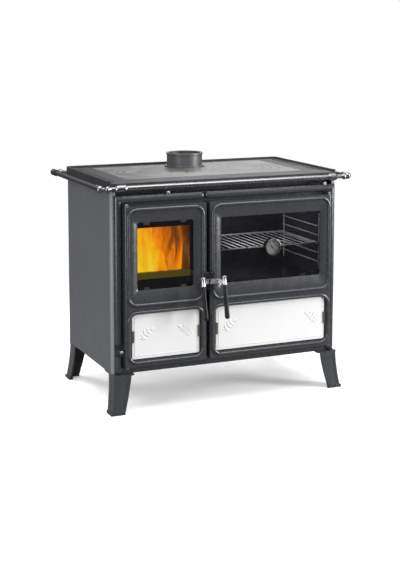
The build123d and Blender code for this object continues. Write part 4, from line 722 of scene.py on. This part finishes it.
# %% Finish of each part
finish_of = {
    anthracite: ("left_side_panel", "right_side_panel"),
    casting: (
        "firebox_front", "oven_front", "firebox_door", "oven_door",
        "front_left_leg", "front_right_leg", "rear_left_leg", "rear_right_leg",
    ),
    collar_paint: ("flue_collar",),
    fork_gloss: ("firebox_handle_fork", "oven_handle_fork"),
    hob_enamel: ("hob_frame",),
    ground_iron: ("hob_plate", "hob_ring", "hob_lid", "firebox_floor", "fire_grate"),
    chrome: ("front_rail", "left_rail", "right_rail", "rail_fittings"),
    lever_chrome_painted_brighter: ("firebox_handle_lever", "oven_handle_lever"),
    plated_wire: ("oven_runners", "oven_shelf"),
    ring_chrome_painted_darker: ("thermometer_case",),
    dark_steel: ("base_plate", "firebox_casing", "smoke_duct_floor", "oven_glass_clips"),
    zinc: ("back_panel", "ash_drawer"),
    turned_steel: (
        "hinge_pins", "door_keeper", "leg_bolts",
        "bypass_damper", "secondary_air_slide", "primary_air_slide",
    ),
    warm_steel: ("firebox_tile_clips", "oven_tile_clips"),
    clip_zinc: ("firebox_glass_clips",),
    oven_enamel: ("oven_liner",),
    fireclay: ("firebox_left_lining", "firebox_right_lining", "firebox_back_lining"),
    grip_resin: ("firebox_handle_grip", "oven_handle_grip"),
    rope: ("firebox_door_seal", "oven_door_seal"),
    stove_glass: ("firebox_glass",),
    oven_glass: ("oven_glass",),
    lens_glass: ("thermometer_lens",),
    dial_white: ("thermometer_dial",),
    ink: ("thermometer_needle",),
}
print("finishes in the table:", len(finish_of))

# %% Put the finishes on
dressed = set()
for material, names in finish_of.items():
    for name in names:
        nodes[name].data.materials.clear()
        nodes[name].data.materials.append(material)
        dressed.add(name)
bare = set(nodes) - dressed - {"firebox_tile", "oven_tile"}
assert not bare, bare
print("dressed", len(dressed), "parts")

# %% [markdown]
# ## Mesh tools
# The pieces that follow are built point by point and end the same way: a mesh takes its
# material, becomes an object, and is told which body it rides on. Round ones share a
# band of faces between two rings of points. Blender's own add and shade commands would
# do it too, but they act on whatever is selected, so a lesson that makes many pieces is
# safer with these few lines.

# %% Mesh tools


def ring_band(build, lower, upper):
    """Joins two rings of points with a band of faces."""
    for k in range(len(lower)):
        after = (k + 1) % len(lower)
        build.faces.new((lower[k], lower[after], upper[after], upper[k]))


def ring_point(radius, k, around, height):
    """The point of this number on a level ring."""
    turn = 2 * math.pi * k / around
    return Vector((radius * math.cos(turn), radius * math.sin(turn), height))


def mesh_of(name, build):
    """Turns a finished bmesh into a mesh."""
    mesh = bpy.data.meshes.new(name)
    build.to_mesh(mesh)
    build.free()
    return mesh


def new_piece(name, data, material):
    """Makes a visible piece of finished data."""
    data.materials.append(material)
    piece = bpy.data.objects.new(name, data)
    bpy.context.scene.collection.objects.link(piece)
    return piece


def add_piece(name, data, material, body):
    """Makes a piece and gives it to its body."""
    piece = new_piece(name, data, material)
    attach(piece, body)


print("mesh tools: ring_band, ring_point, mesh_of, new_piece, add_piece")

# %% [markdown]
# ## The glazed tiles
# Each door carries a white tile with a pressed relief: a raised line round the edge
# and an olive sprig at each end. A relief is a height over a flat plate, so the tile is
# a fine grid whose points are lifted by a formula: rounded borders, stems and leaves
# are all distances to simple curves. Because the height is real, it shades correctly
# from every side. The slopes, found from the surface's own direction, are painted a
# darker grey as well: painted shade that makes the relief stand out under frontal light.

# %% White glaze
glaze, tree, shader = new_finish("white_glaze", (0.80, 0.80, 0.785), 0.16)
surface_turn = tree.nodes.new("ShaderNodeSeparateXYZ")
tree.links.new(tree.nodes.new("ShaderNodeTexCoord").outputs["Normal"], surface_turn.inputs[0])
facing_front = sums(tree, "ABSOLUTE", surface_turn.outputs["Y"], 0)
painted_slope_shade = stepped(tree, facing_front, 0.60, 0.985, 1.0, 0.0)
even_glaze = two_tone(tree, cloudy(tree, 0.06), (0.83, 0.83, 0.815), (0.86, 0.86, 0.845))
# the darker grey on the slopes is painted shade
tint(shader, painted_slope_shade, even_glaze, (0.46, 0.46, 0.45))
push_grain(shader, cloudy(tree, 0.012, detail=2), 0.00012)
shader.inputs["Coat Weight"].default_value = 0.6
shader.inputs["Coat Roughness"].default_value = 0.05
tell_finish(glaze)

# %% Leaf and sprig


def soft_step(distance, width):
    """1 inside a shape and 0 outside it, with a rounded shoulder of this width."""
    share = np.clip(0.5 - distance / width, 0, 1)
    return share * share * (3 - 2 * share)


def leaf_height(x, z, base, angle, length, width):
    """A pointed leaf that starts at base and leans by angle, with a midrib groove."""
    along = (x - base[0]) * math.cos(angle) + (z - base[1]) * math.sin(angle)
    across = -(x - base[0]) * math.sin(angle) + (z - base[1]) * math.cos(angle)
    share = np.clip(along / length, 0, 1)
    half_width = width * np.sin(math.pi * share**0.8) + 1e-6
    inside = soft_step((np.abs(across) - half_width), 1.6 * mm) * (along > 0) * (along < length)
    rib = 1 - 0.35 * np.exp(-((across / (0.5 * mm)) ** 2))
    return inside * rib


def sprig_height(x, z, centre, mirror):
    """An olive sprig: a slanting bowed stem with paired leaves, a tip leaf, two fruits."""
    stem_length = 44 * mm
    bow = 4 * mm
    lean = math.radians(38)
    leaf_turn = math.radians(58)
    along = (x - centre[0]) * mirror
    up = z - centre[1]
    along_stem = along * math.cos(lean) + up * math.sin(lean)
    off_stem = -along * math.sin(lean) + up * math.cos(lean)
    share = np.clip(along_stem / stem_length + 0.5, 0, 1)
    stem_bow = bow * np.sin(math.pi * share) - bow / 2
    on_stem = np.abs(along_stem) < stem_length / 2
    height = 0.7 * soft_step(np.abs(off_stem - stem_bow) - 0.9 * mm, 1.4 * mm) * on_stem
    for step, leaf_length in ((0.10, 17), (0.42, 20), (0.74, 17)):
        root = ((step - 0.5) * stem_length, bow * math.sin(math.pi * step) - bow / 2)
        for side in (-1, 1):
            turn = side * leaf_turn
            leaf = leaf_height(along_stem, off_stem, root, turn, leaf_length * mm, 4.6 * mm)
            height = np.maximum(height, leaf)
    stem_tip = (stem_length * 0.5, -bow / 2)
    tip_leaf = leaf_height(along_stem, off_stem, stem_tip, math.radians(-8), 19 * mm, 4.8 * mm)
    height = np.maximum(height, tip_leaf)
    for fruit_along, fruit_off in ((-25, 3), (-20, -9)):
        reach = np.sqrt((along_stem - fruit_along * mm) ** 2 + (off_stem - fruit_off * mm) ** 2)
        height = np.maximum(height, np.sqrt(np.clip(1 - (reach / (3.6 * mm)) ** 2, 0, 1)))
    return height


print("a sprig has a stem, 7 leaves and 2 fruits")

# %% A pressed tile


def pressed_tile(node_name):
    """A mesh with the node's own outline and thickness, and its front pressed."""
    low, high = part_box(node_name)
    centre, half = (low + high) / 2, (high - low) / 2
    half_x, half_z = half.x, half.z
    corner = 8 * mm
    pitch = 1.1 * mm
    columns = int(2 * half_x / pitch)
    rows = int(2 * half_z / pitch)
    grid_across, grid_up = np.meshgrid(np.linspace(-1, 1, columns), np.linspace(-1, 1, rows))
    z = grid_up * half_z
    past = np.clip(np.abs(z) - (half_z - corner), 0, corner)
    x = grid_across * (half_x - (corner - np.sqrt(corner**2 - past**2)))
    to_edge = np.minimum(half_x - np.abs(x), half_z - np.abs(z))
    frame_line = 13 * mm
    to_line = np.maximum(np.abs(x) - (half_x - frame_line), np.abs(z) - (half_z - frame_line))
    relief = 0.7 * soft_step(np.abs(to_line) - 1.3 * mm, 2.2 * mm)
    for end in (-1, 1):
        sprig_centre = (end * (half_x - 54 * mm), 6 * mm)
        relief = np.maximum(relief, sprig_height(x, z, sprig_centre, -end))
    shoulder = 2.2 * mm
    over = np.clip(shoulder - to_edge, 0, shoulder)
    roll = shoulder - np.sqrt(np.clip(shoulder**2 - over**2, 0, None))
    relief_depth = 1.6 * mm
    y = low.y + relief_depth * (1 - relief) + roll
    front = np.stack([centre.x + x, y, centre.z + z], -1).reshape(-1, 3)
    mesh = bpy.data.meshes.new(node_name + "_pressed")
    index = np.arange(rows * columns).reshape(rows, columns)
    corners = (index[:-1, :-1], index[:-1, 1:], index[1:, 1:], index[1:, :-1])
    quads = np.stack(corners, -1).reshape(-1, 4)
    rim = [*index[0, :], *index[1:, -1], *index[-1, -2::-1], *index[-2:0:-1, 0]]
    back = [(front[i][0], high.y, front[i][2]) for i in rim]
    first = len(front)
    sides = []
    for k in range(len(rim)):
        after = (k + 1) % len(rim)
        sides.append((rim[k], first + k, first + after, rim[after]))
    back_face = [tuple(first + k for k in range(len(rim)))]
    faces = [tuple(q) for q in quads] + sides + back_face
    mesh.from_pydata([tuple(p) for p in front] + back, [], faces)
    smooth_to(mesh, 50)
    return mesh


# %% Press the two tiles
for room in ("firebox", "oven"):
    tile = new_piece(f"{room}_tile_pressed", pressed_tile(f"{room}_tile"), glaze)
    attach(tile, f"{room}_door")
    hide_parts(f"{room}_tile")
    print(tile.name, len(tile.data.polygons), "faces")

# %% [markdown]
# ## Relief strips on the hob
# Between the ground plate and the hob's left and right edges the frame carries a strip
# of cast relief: two fillets with a running wave between them and a bead in each
# hollow, an old founder's pattern. Tubes half sunk in the frame would look much the
# same, but half of every tube would lie hidden in the iron. So each line is a ribbon:
# four points across it, low at the sides and high in the middle, carried along a path.
# One mesh holds a whole strip.

# %% Place of the strips
frame_low, frame_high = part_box("hob_frame")
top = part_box("hob_plate")[1].z
strip_middle = 439 * mm
strip_half = 17 * mm
wave_half = 9 * mm
wave_step = 46 * mm
strip_start, strip_end = frame_low.y + 58 * mm, frame_high.y - 40 * mm
strip_length = strip_end - strip_start
waves = round(strip_length / wave_step)
step_length = strip_length / waves
print("strips", round(strip_length, 3), "m long,", waves, "waves")

# %% Ribbon and bead


def ribbon(build, path, width, height):
    """A raised line along a path of points on the hob's top."""
    rows = []
    for k, point in enumerate(path):
        run = (path[min(k + 1, len(path) - 1)] - path[max(k - 1, 0)]).normalized()
        across = Vector((-run.y, run.x, 0))
        low = 0.0 if k not in (0, len(path) - 1) else height * 0.6
        row = []
        for side, lift in ((-1, 0), (-0.55, 1), (0.55, 1), (1, 0)):
            up = Vector((0, 0, lift * (height - low)))
            row.append(build.verts.new(point + across * (side * width / 2) + up))
        rows.append(row)
    for one, other in zip(rows, rows[1:]):
        for k in range(3):
            build.faces.new((one[k], one[k + 1], other[k + 1], other[k]))


def bead(build, centre, radius, height):
    """A low round button."""
    around = 16
    rings = []
    for share, lift in ((1, 0), (0.85, 0.5), (0.5, 0.9)):
        ring = [ring_point(radius * share, k, around, lift * height) for k in range(around)]
        rings.append([build.verts.new(centre + point) for point in ring])
    for lower, upper in zip(rings, rings[1:]):
        ring_band(build, lower, upper)
    build.faces.new(rings[-1])


print("a ribbon has 4 points across, a bead 3 rings")

# %% Cast the two strips
for side, side_name in ((-1, "left"), (1, "right")):
    build = bmesh.new()
    middle_x = side * strip_middle
    for edge in (-strip_half, strip_half):
        fillet = [Vector((middle_x + edge, y, top)) for y in (strip_start, strip_end)]
        ribbon(build, fillet, 2.2 * mm, 1.2 * mm)
    path = []
    for k in range(waves * 16 + 1):
        along = strip_length * k / (waves * 16)
        swing = wave_half * math.sin(2 * math.pi * along / step_length)
        path.append(Vector((middle_x + swing, strip_start + along, top)))
    ribbon(build, path, 3.6 * mm, 1.8 * mm)
    for k in range(waves):
        for share, lean in ((0.25, -1), (0.75, 1)):
            y = strip_start + (k + share) * step_length
            bead(build, Vector((middle_x + lean * 7 * mm, y, top)), 3.4 * mm, 1.8 * mm)
    bmesh.ops.recalc_face_normals(build, faces=build.faces)
    name = f"hob_relief_{side_name}"
    strip_mesh = mesh_of(name, build)
    smooth_to(strip_mesh, 50)
    add_piece(name, strip_mesh, hob_enamel, "stove_body")
    print(name, len(strip_mesh.polygons), "faces")

# %% [markdown]
# ## The thermometer's dial
# A dial is printed: a ring of ticks, longer every hundred degrees, and the figures.
# Ticks are thin raised bars set round a circle by a loop, and the figures are text
# objects, the simplest way to get clean numerals. A picture of a dial would be quicker,
# but would blur close up. The scale runs from 0 to 500 over 270 degrees, with zero at
# the lower left.

# %% Measures of the dial
dial_low, dial_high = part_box("thermometer_dial")
dial_centre = (dial_low + dial_high) / 2
dial_front = dial_low.y
dial_radius = (dial_high.x - dial_low.x) / 2
scale_top = 500
scale_sweep = math.radians(270)
print_thickness = 0.2 * mm
tick_step, long_tick_step = 20, 100
tick_outer, long_tick_inner, short_tick_inner = 0.95, 0.80, 0.87
long_tick_width, short_tick_width = 0.9 * mm, 0.5 * mm
figure_size = 6.2 * mm
figure_ring = 0.62
print("dial radius", round(dial_radius / mm, 1), "mm")

# %% Ticks


def dial_angle(value):
    """Angle of a reading, clockwise from straight up, seen by the user."""
    return -scale_sweep / 2 + scale_sweep * value / scale_top


def bar_on_dial(mesh, angle, inner, outer, width):
    """One printed bar from an inner to an outer radius."""
    along = Vector((math.sin(angle), 0, math.cos(angle)))
    across = Vector((math.cos(angle), 0, -math.sin(angle)))
    corners = []
    for y in (dial_front - print_thickness, dial_front):
        for reach, side in ((inner, -1), (inner, 1), (outer, 1), (outer, -1)):
            point = along * reach + across * (side * width / 2)
            corners.append(mesh.verts.new((dial_centre.x + point.x, y, dial_centre.z + point.z)))
    ends = ((0, 1, 2, 3), (7, 6, 5, 4))
    sides = ((0, 4, 5, 1), (1, 5, 6, 2), (2, 6, 7, 3), (3, 7, 4, 0))
    for face in ends + sides:
        mesh.faces.new([corners[i] for i in face])


ticks = bmesh.new()
for value in range(0, scale_top + 1, tick_step):
    is_long = value % long_tick_step == 0
    inner = dial_radius * (long_tick_inner if is_long else short_tick_inner)
    width = long_tick_width if is_long else short_tick_width
    bar_on_dial(ticks, dial_angle(value), inner, dial_radius * tick_outer, width)
add_piece("dial_ticks", mesh_of("dial_ticks", ticks), ink, "oven_door")
print("ticks:", scale_top // tick_step + 1)

# %% Figures
for value in range(0, scale_top + 1, long_tick_step):
    figure_data = bpy.data.curves.new(f"dial_figure_{value}", "FONT")
    figure_data.body = str(value)
    figure_data.size = figure_size
    figure_data.align_x = "CENTER"
    figure_data.align_y = "CENTER"
    figure_data.extrude = print_thickness / 2
    figure_data.materials.append(ink)
    figure = bpy.data.objects.new(f"dial_figure_{value}", figure_data)
    angle = dial_angle(value)
    reach = dial_radius * figure_ring
    figure.location = (
        dial_centre.x + reach * math.sin(angle),
        dial_front - print_thickness / 2,
        dial_centre.z + reach * math.cos(angle),
    )
    figure.rotation_euler = (math.pi / 2, 0, 0)
    bpy.context.scene.collection.objects.link(figure)
    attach(figure, "oven_door")
print("figures from 0 to", scale_top)

# %% [markdown]
# ## Screws
# Round-headed screws hold the back sheet to the body. One function turns a domed head
# and sinks a cross in it, by lowering the points of the inner rings that lie on the
# cross. A boolean cut would do it too, but leaves slivers; lowered points keep the mesh
# clean. The rest is placing.

# %% A screw head


def screw_head(name, place, facing, radius, body):
    """A domed head with a cross recess; its measures are shares of the radius."""
    build = bmesh.new()
    around = 32
    dome = (
        (1.0, 0.0), (1.0, 0.18), (0.94, 0.34), (0.78, 0.48),
        (0.56, 0.56), (0.34, 0.60), (0.18, 0.61),
    )
    cross_half_width, cross_reach, cross_depth = 0.16, 0.8, 0.30
    rows = []
    for share, lift in dome:
        row = []
        for k in range(around):
            turn = 2 * math.pi * k / around
            nearest = abs((turn + math.pi / 4) % (math.pi / 2) - math.pi / 4)
            in_cross = nearest * share < cross_half_width and share < cross_reach
            height = (lift - cross_depth if in_cross else lift) * radius
            row.append(build.verts.new(ring_point(radius * share, k, around, height)))
        rows.append(row)
    for lower, upper in zip(rows, rows[1:]):
        ring_band(build, lower, upper)
    build.faces.new(rows[-1])
    build.faces.new(rows[0][::-1])
    turn_to = Vector(facing).to_track_quat("Z", "Y").to_matrix().to_4x4()
    build.transform(Matrix.Translation(Vector(place)) @ turn_to)
    mesh = mesh_of(name, build)
    smooth_to(mesh, 40)
    add_piece(name, mesh, turned_steel, body)


print("a screw head is 7 rings of 32 points")

# %% Screws of the back sheet
panel_low, panel_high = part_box("back_panel")
inset = 12 * mm
sides_x = (panel_low.x + inset, panel_high.x - inset)
ends_z = (panel_low.z + inset, panel_high.z - inset)
screw_places = [(x, z) for x in np.linspace(*sides_x, 5) for z in ends_z]
screw_places += [(x, z) for z in np.linspace(*ends_z, 5)[1:-1] for x in sides_x]
for number, (x, z) in enumerate(screw_places):
    screw_head(f"back_screw_{number}", (x, panel_high.y, z), (0, 1, 0), 3.6 * mm, "stove_body")
print("screws:", len(screw_places))

# %% [markdown]
# ## The fire
# A lit stove is half fire. Three split logs lie on the grate, charred and glowing in
# their cracks, and the flames are a few wavy upright sheets. Each sheet glows and is
# cut away by the same rising noise, stretched upwards, so that tongues form; several
# sheets behind each other give the flames depth without the cost of a real gas.

# %% Hearth
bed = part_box("firebox_floor")[1].z
left_low, left_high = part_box("firebox_left_lining")
hearth_left, hearth_front = left_high.x, left_low.y
hearth_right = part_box("firebox_right_lining")[0].x
print("hearth is", round(hearth_right - hearth_left, 3), "m wide")

# %% Flame finish


def set_ramp(ramp, stops):
    """Puts colours at places on a ramp, the first and last at the two it has already."""
    points = ramp.color_ramp.elements
    for point, (place, colour) in ((points[0], stops[0]), (points[1], stops[-1])):
        point.position, point.color = place, (*colour, 1)
    for place, colour in stops[1:-1]:
        points.new(place).color = (*colour, 1)


def flame_finish(name, offset, base_z, top_z):
    """Glowing tongues that thin out with height."""
    material = bpy.data.materials.new(name)
    material.use_nodes = True
    tree = material.node_tree
    shader = tree.nodes["Principled BSDF"]
    shader.inputs["Roughness"].default_value = 1.0
    source = tree.nodes.new("ShaderNodeTexCoord")
    mapping = tree.nodes.new("ShaderNodeMapping")
    mapping.inputs["Location"].default_value = (offset, offset, 0)
    mapping.inputs["Scale"].default_value = (1, 1, 0.30)
    tree.links.new(source.outputs["Object"], mapping.inputs["Vector"])
    noise = tree.nodes.new("ShaderNodeTexNoise")
    noise.inputs["Scale"].default_value = 16
    noise.inputs["Detail"].default_value = 4
    noise.inputs["Distortion"].default_value = 0.9
    tree.links.new(mapping.outputs["Vector"], noise.inputs["Vector"])
    place = tree.nodes.new("ShaderNodeSeparateXYZ")
    tree.links.new(source.outputs["Object"], place.inputs[0])
    rise = stepped(tree, place.outputs["Z"], base_z, top_z, 0.28, 0.02)
    hot_side, cool_side = hearth_left + 0.07, hearth_right + 0.01
    aside = stepped(tree, place.outputs["X"], hot_side, cool_side, 0.12, -0.21)
    heat = sums(tree, "ADD", noise.outputs["Fac"], sums(tree, "ADD", rise, aside))
    ramp = tree.nodes.new("ShaderNodeValToRGB")
    set_ramp(ramp, (
        (0.30, (0.12, 0.02, 0.0)), (0.44, (0.50, 0.11, 0.005)), (0.58, (0.95, 0.24, 0.005)),
        (0.72, (1.0, 0.48, 0.006)), (0.95, (1.0, 0.70, 0.03)),
    ))
    tree.links.new(heat, ramp.inputs[0])
    shader.inputs["Base Color"].default_value = (0, 0, 0, 1)
    tree.links.new(ramp.outputs[0], shader.inputs["Emission Color"])
    shader.inputs["Emission Strength"].default_value = 1.0
    tree.links.new(stepped(tree, heat, 0.34, 0.58, 0.0, 0.95), shader.inputs["Alpha"])
    shader.inputs["Specular IOR Level"].default_value = 0.0
    return material


print("each flame sheet gets its own finish, with its own part of the noise")

# %% Charred wood


def ember_finish():
    """Charred wood that glows in its cracks."""
    material, tree, shader = new_finish("charred_log", (0.03, 0.024, 0.02), 0.95)
    cracks = tree.nodes.new("ShaderNodeTexVoronoi")
    cracks.feature = "DISTANCE_TO_EDGE"
    cracks.inputs["Scale"].default_value = 55
    tree.links.new(measured_from(tree, (0.45, 1, 1)), cracks.inputs["Vector"])
    glow = stepped(tree, cracks.outputs["Distance"], 0.0, 0.10, 1.0, 0.0)
    hot = sums(tree, "MULTIPLY", glow, stepped(tree, cloudy(tree, 0.05), 0.38, 0.62))
    tint(shader, cloudy(tree, 0.02), (0.02, 0.017, 0.015), (0.10, 0.07, 0.05))
    shader.inputs["Emission Color"].default_value = (1.0, 0.22, 0.02, 1)
    tree.links.new(sums(tree, "MULTIPLY", hot, 3.0), shader.inputs["Emission Strength"])
    push_grain(shader, cracks.outputs["Distance"], 0.004)
    return material


charred = ember_finish()
tell_finish(charred)

# %% A split log


def split_log(name, start, end, radius, seed):
    """A rough log: rings of points along its length, each a little out of round."""
    rng = random.Random(seed)
    run = end - start
    steps, around = 14, 20
    turn_to = run.to_track_quat("Z", "Y").to_matrix()
    build = bmesh.new()
    bark = [1 + 0.16 * rng.uniform(-1, 1) for _ in range(around)]
    rows = []
    for i in range(steps + 1):
        share = i / steps
        thin = 0.82 if i in (0, steps) else 1.0
        row = []
        for k in range(around):
            split_side = math.sin(2 * math.pi * k / around) > 0.55
            flat = 0.72 if split_side else 1.0
            size = radius * bark[k] * flat * thin * (1 + 0.05 * rng.uniform(-1, 1))
            point = turn_to @ ring_point(size, k, around, run.length * share)
            row.append(build.verts.new(start + point))
        rows.append(row)
    for lower, upper in zip(rows, rows[1:]):
        ring_band(build, lower, upper)
    build.faces.new(rows[0][::-1])
    build.faces.new(rows[-1])
    mesh = mesh_of(name, build)
    mesh.shade_smooth()
    add_piece(name, mesh, charred, "stove_body")


print("a log is 15 rings of 20 points")

# %% A flame sheet


def flame_sheet(name, y, base_z, top_z, offset):
    """An upright wavy sheet across the hearth."""
    columns, rows = 40, 24
    margin = 6 * mm
    points, faces = [], []
    for j in range(rows + 1):
        z = base_z + (top_z - base_z) * j / rows
        for i in range(columns + 1):
            share = i / columns
            x = hearth_left + margin + (hearth_right - hearth_left - 2 * margin) * share
            slow_sway = 9 * mm * math.sin(9 * share + 3 * j / rows + offset)
            quick_sway = 5 * mm * math.sin(21 * share - 4 * j / rows)
            points.append((x, y + (slow_sway + quick_sway), z))
    for j in range(rows):
        for i in range(columns):
            first = j * (columns + 1) + i
            faces.append((first, first + 1, first + columns + 2, first + columns + 1))
    mesh = bpy.data.meshes.new(name)
    mesh.from_pydata(points, [], faces)
    mesh.shade_smooth()
    flames = flame_finish(name, offset, base_z, top_z)
    add_piece(name, mesh, flames, "stove_body")


print("a flame sheet is 40 by 24 faces")

# %% Lay the fire
log_radius = 30 * mm
# Each log's two ends: one from the left wall, the front and the bed, one from the right.
log_ends = (
    ((0.025, 0.13, 0.030), (-0.025, 0.16, 0.032)),
    ((0.030, 0.23, 0.030), (-0.020, 0.21, 0.030)),
    ((0.040, 0.20, 0.084), (-0.040, 0.15, 0.086)),
)
for number, (start, end) in enumerate(log_ends):
    left_end = Vector((hearth_left, hearth_front, bed)) + Vector(start)
    right_end = Vector((hearth_right, hearth_front, bed)) + Vector(end)
    split_log(f"burning_log_{number}", left_end, right_end, log_radius, 11 + number)
flame_foot, flame_top = bed + 12 * mm, bed + 285 * mm
flame_depths = (0.085, 0.15, 0.22, 0.30)
for number, depth in enumerate(flame_depths):
    flame_sheet(f"flame_{number}", hearth_front + depth, flame_foot, flame_top, 1.7 * number)
print("logs and flames:", len(log_ends), "and", len(flame_depths))

# %% [markdown]
# ## The studio floor's paper
# The floor is a plain pale sheet. It stays a little off white so that the soft shadow
# under the stove shows, and has a faint mottle, because a perfectly even floor makes
# an object look pasted on. It fades out from one to just over two metres away, where
# it would only make a line against the white room. A white floor lights a dark stove
# from below, which photographers stop with black cards; here the sheet is simply
# darker for every ray that the stove sends to it, and pale for the eye.

# %% Floor finish
paper, tree, shader = new_finish("studio_paper", (0.90, 0.90, 0.90), 0.6)
seen_directly = tree.nodes.new("ShaderNodeLightPath").outputs["Is Camera Ray"]
pale = two_tone(tree, cloudy(tree, 0.9, detail=2), (0.89, 0.89, 0.89), (0.92, 0.92, 0.92))
tint(shader, seen_directly, (0.16, 0.16, 0.165), pale)
shader.inputs["Emission Color"].default_value = (1, 1, 1, 1)
tree.links.new(sums(tree, "MULTIPLY", seen_directly, 0.30), shader.inputs["Emission Strength"])
shader.inputs["Specular IOR Level"].default_value = 0.1
from_middle = tree.nodes.new("ShaderNodeVectorMath")
from_middle.operation = "LENGTH"
tree.links.new(measured_from(tree), from_middle.inputs[0])
paper_end, paper_fade = 2.3, 1.2
faded = stepped(tree, from_middle.outputs["Value"], paper_end - paper_fade, paper_end, 1, 0)
tree.links.new(faded, shader.inputs["Alpha"])
floor_mesh.materials.append(paper)
tell_finish(paper)
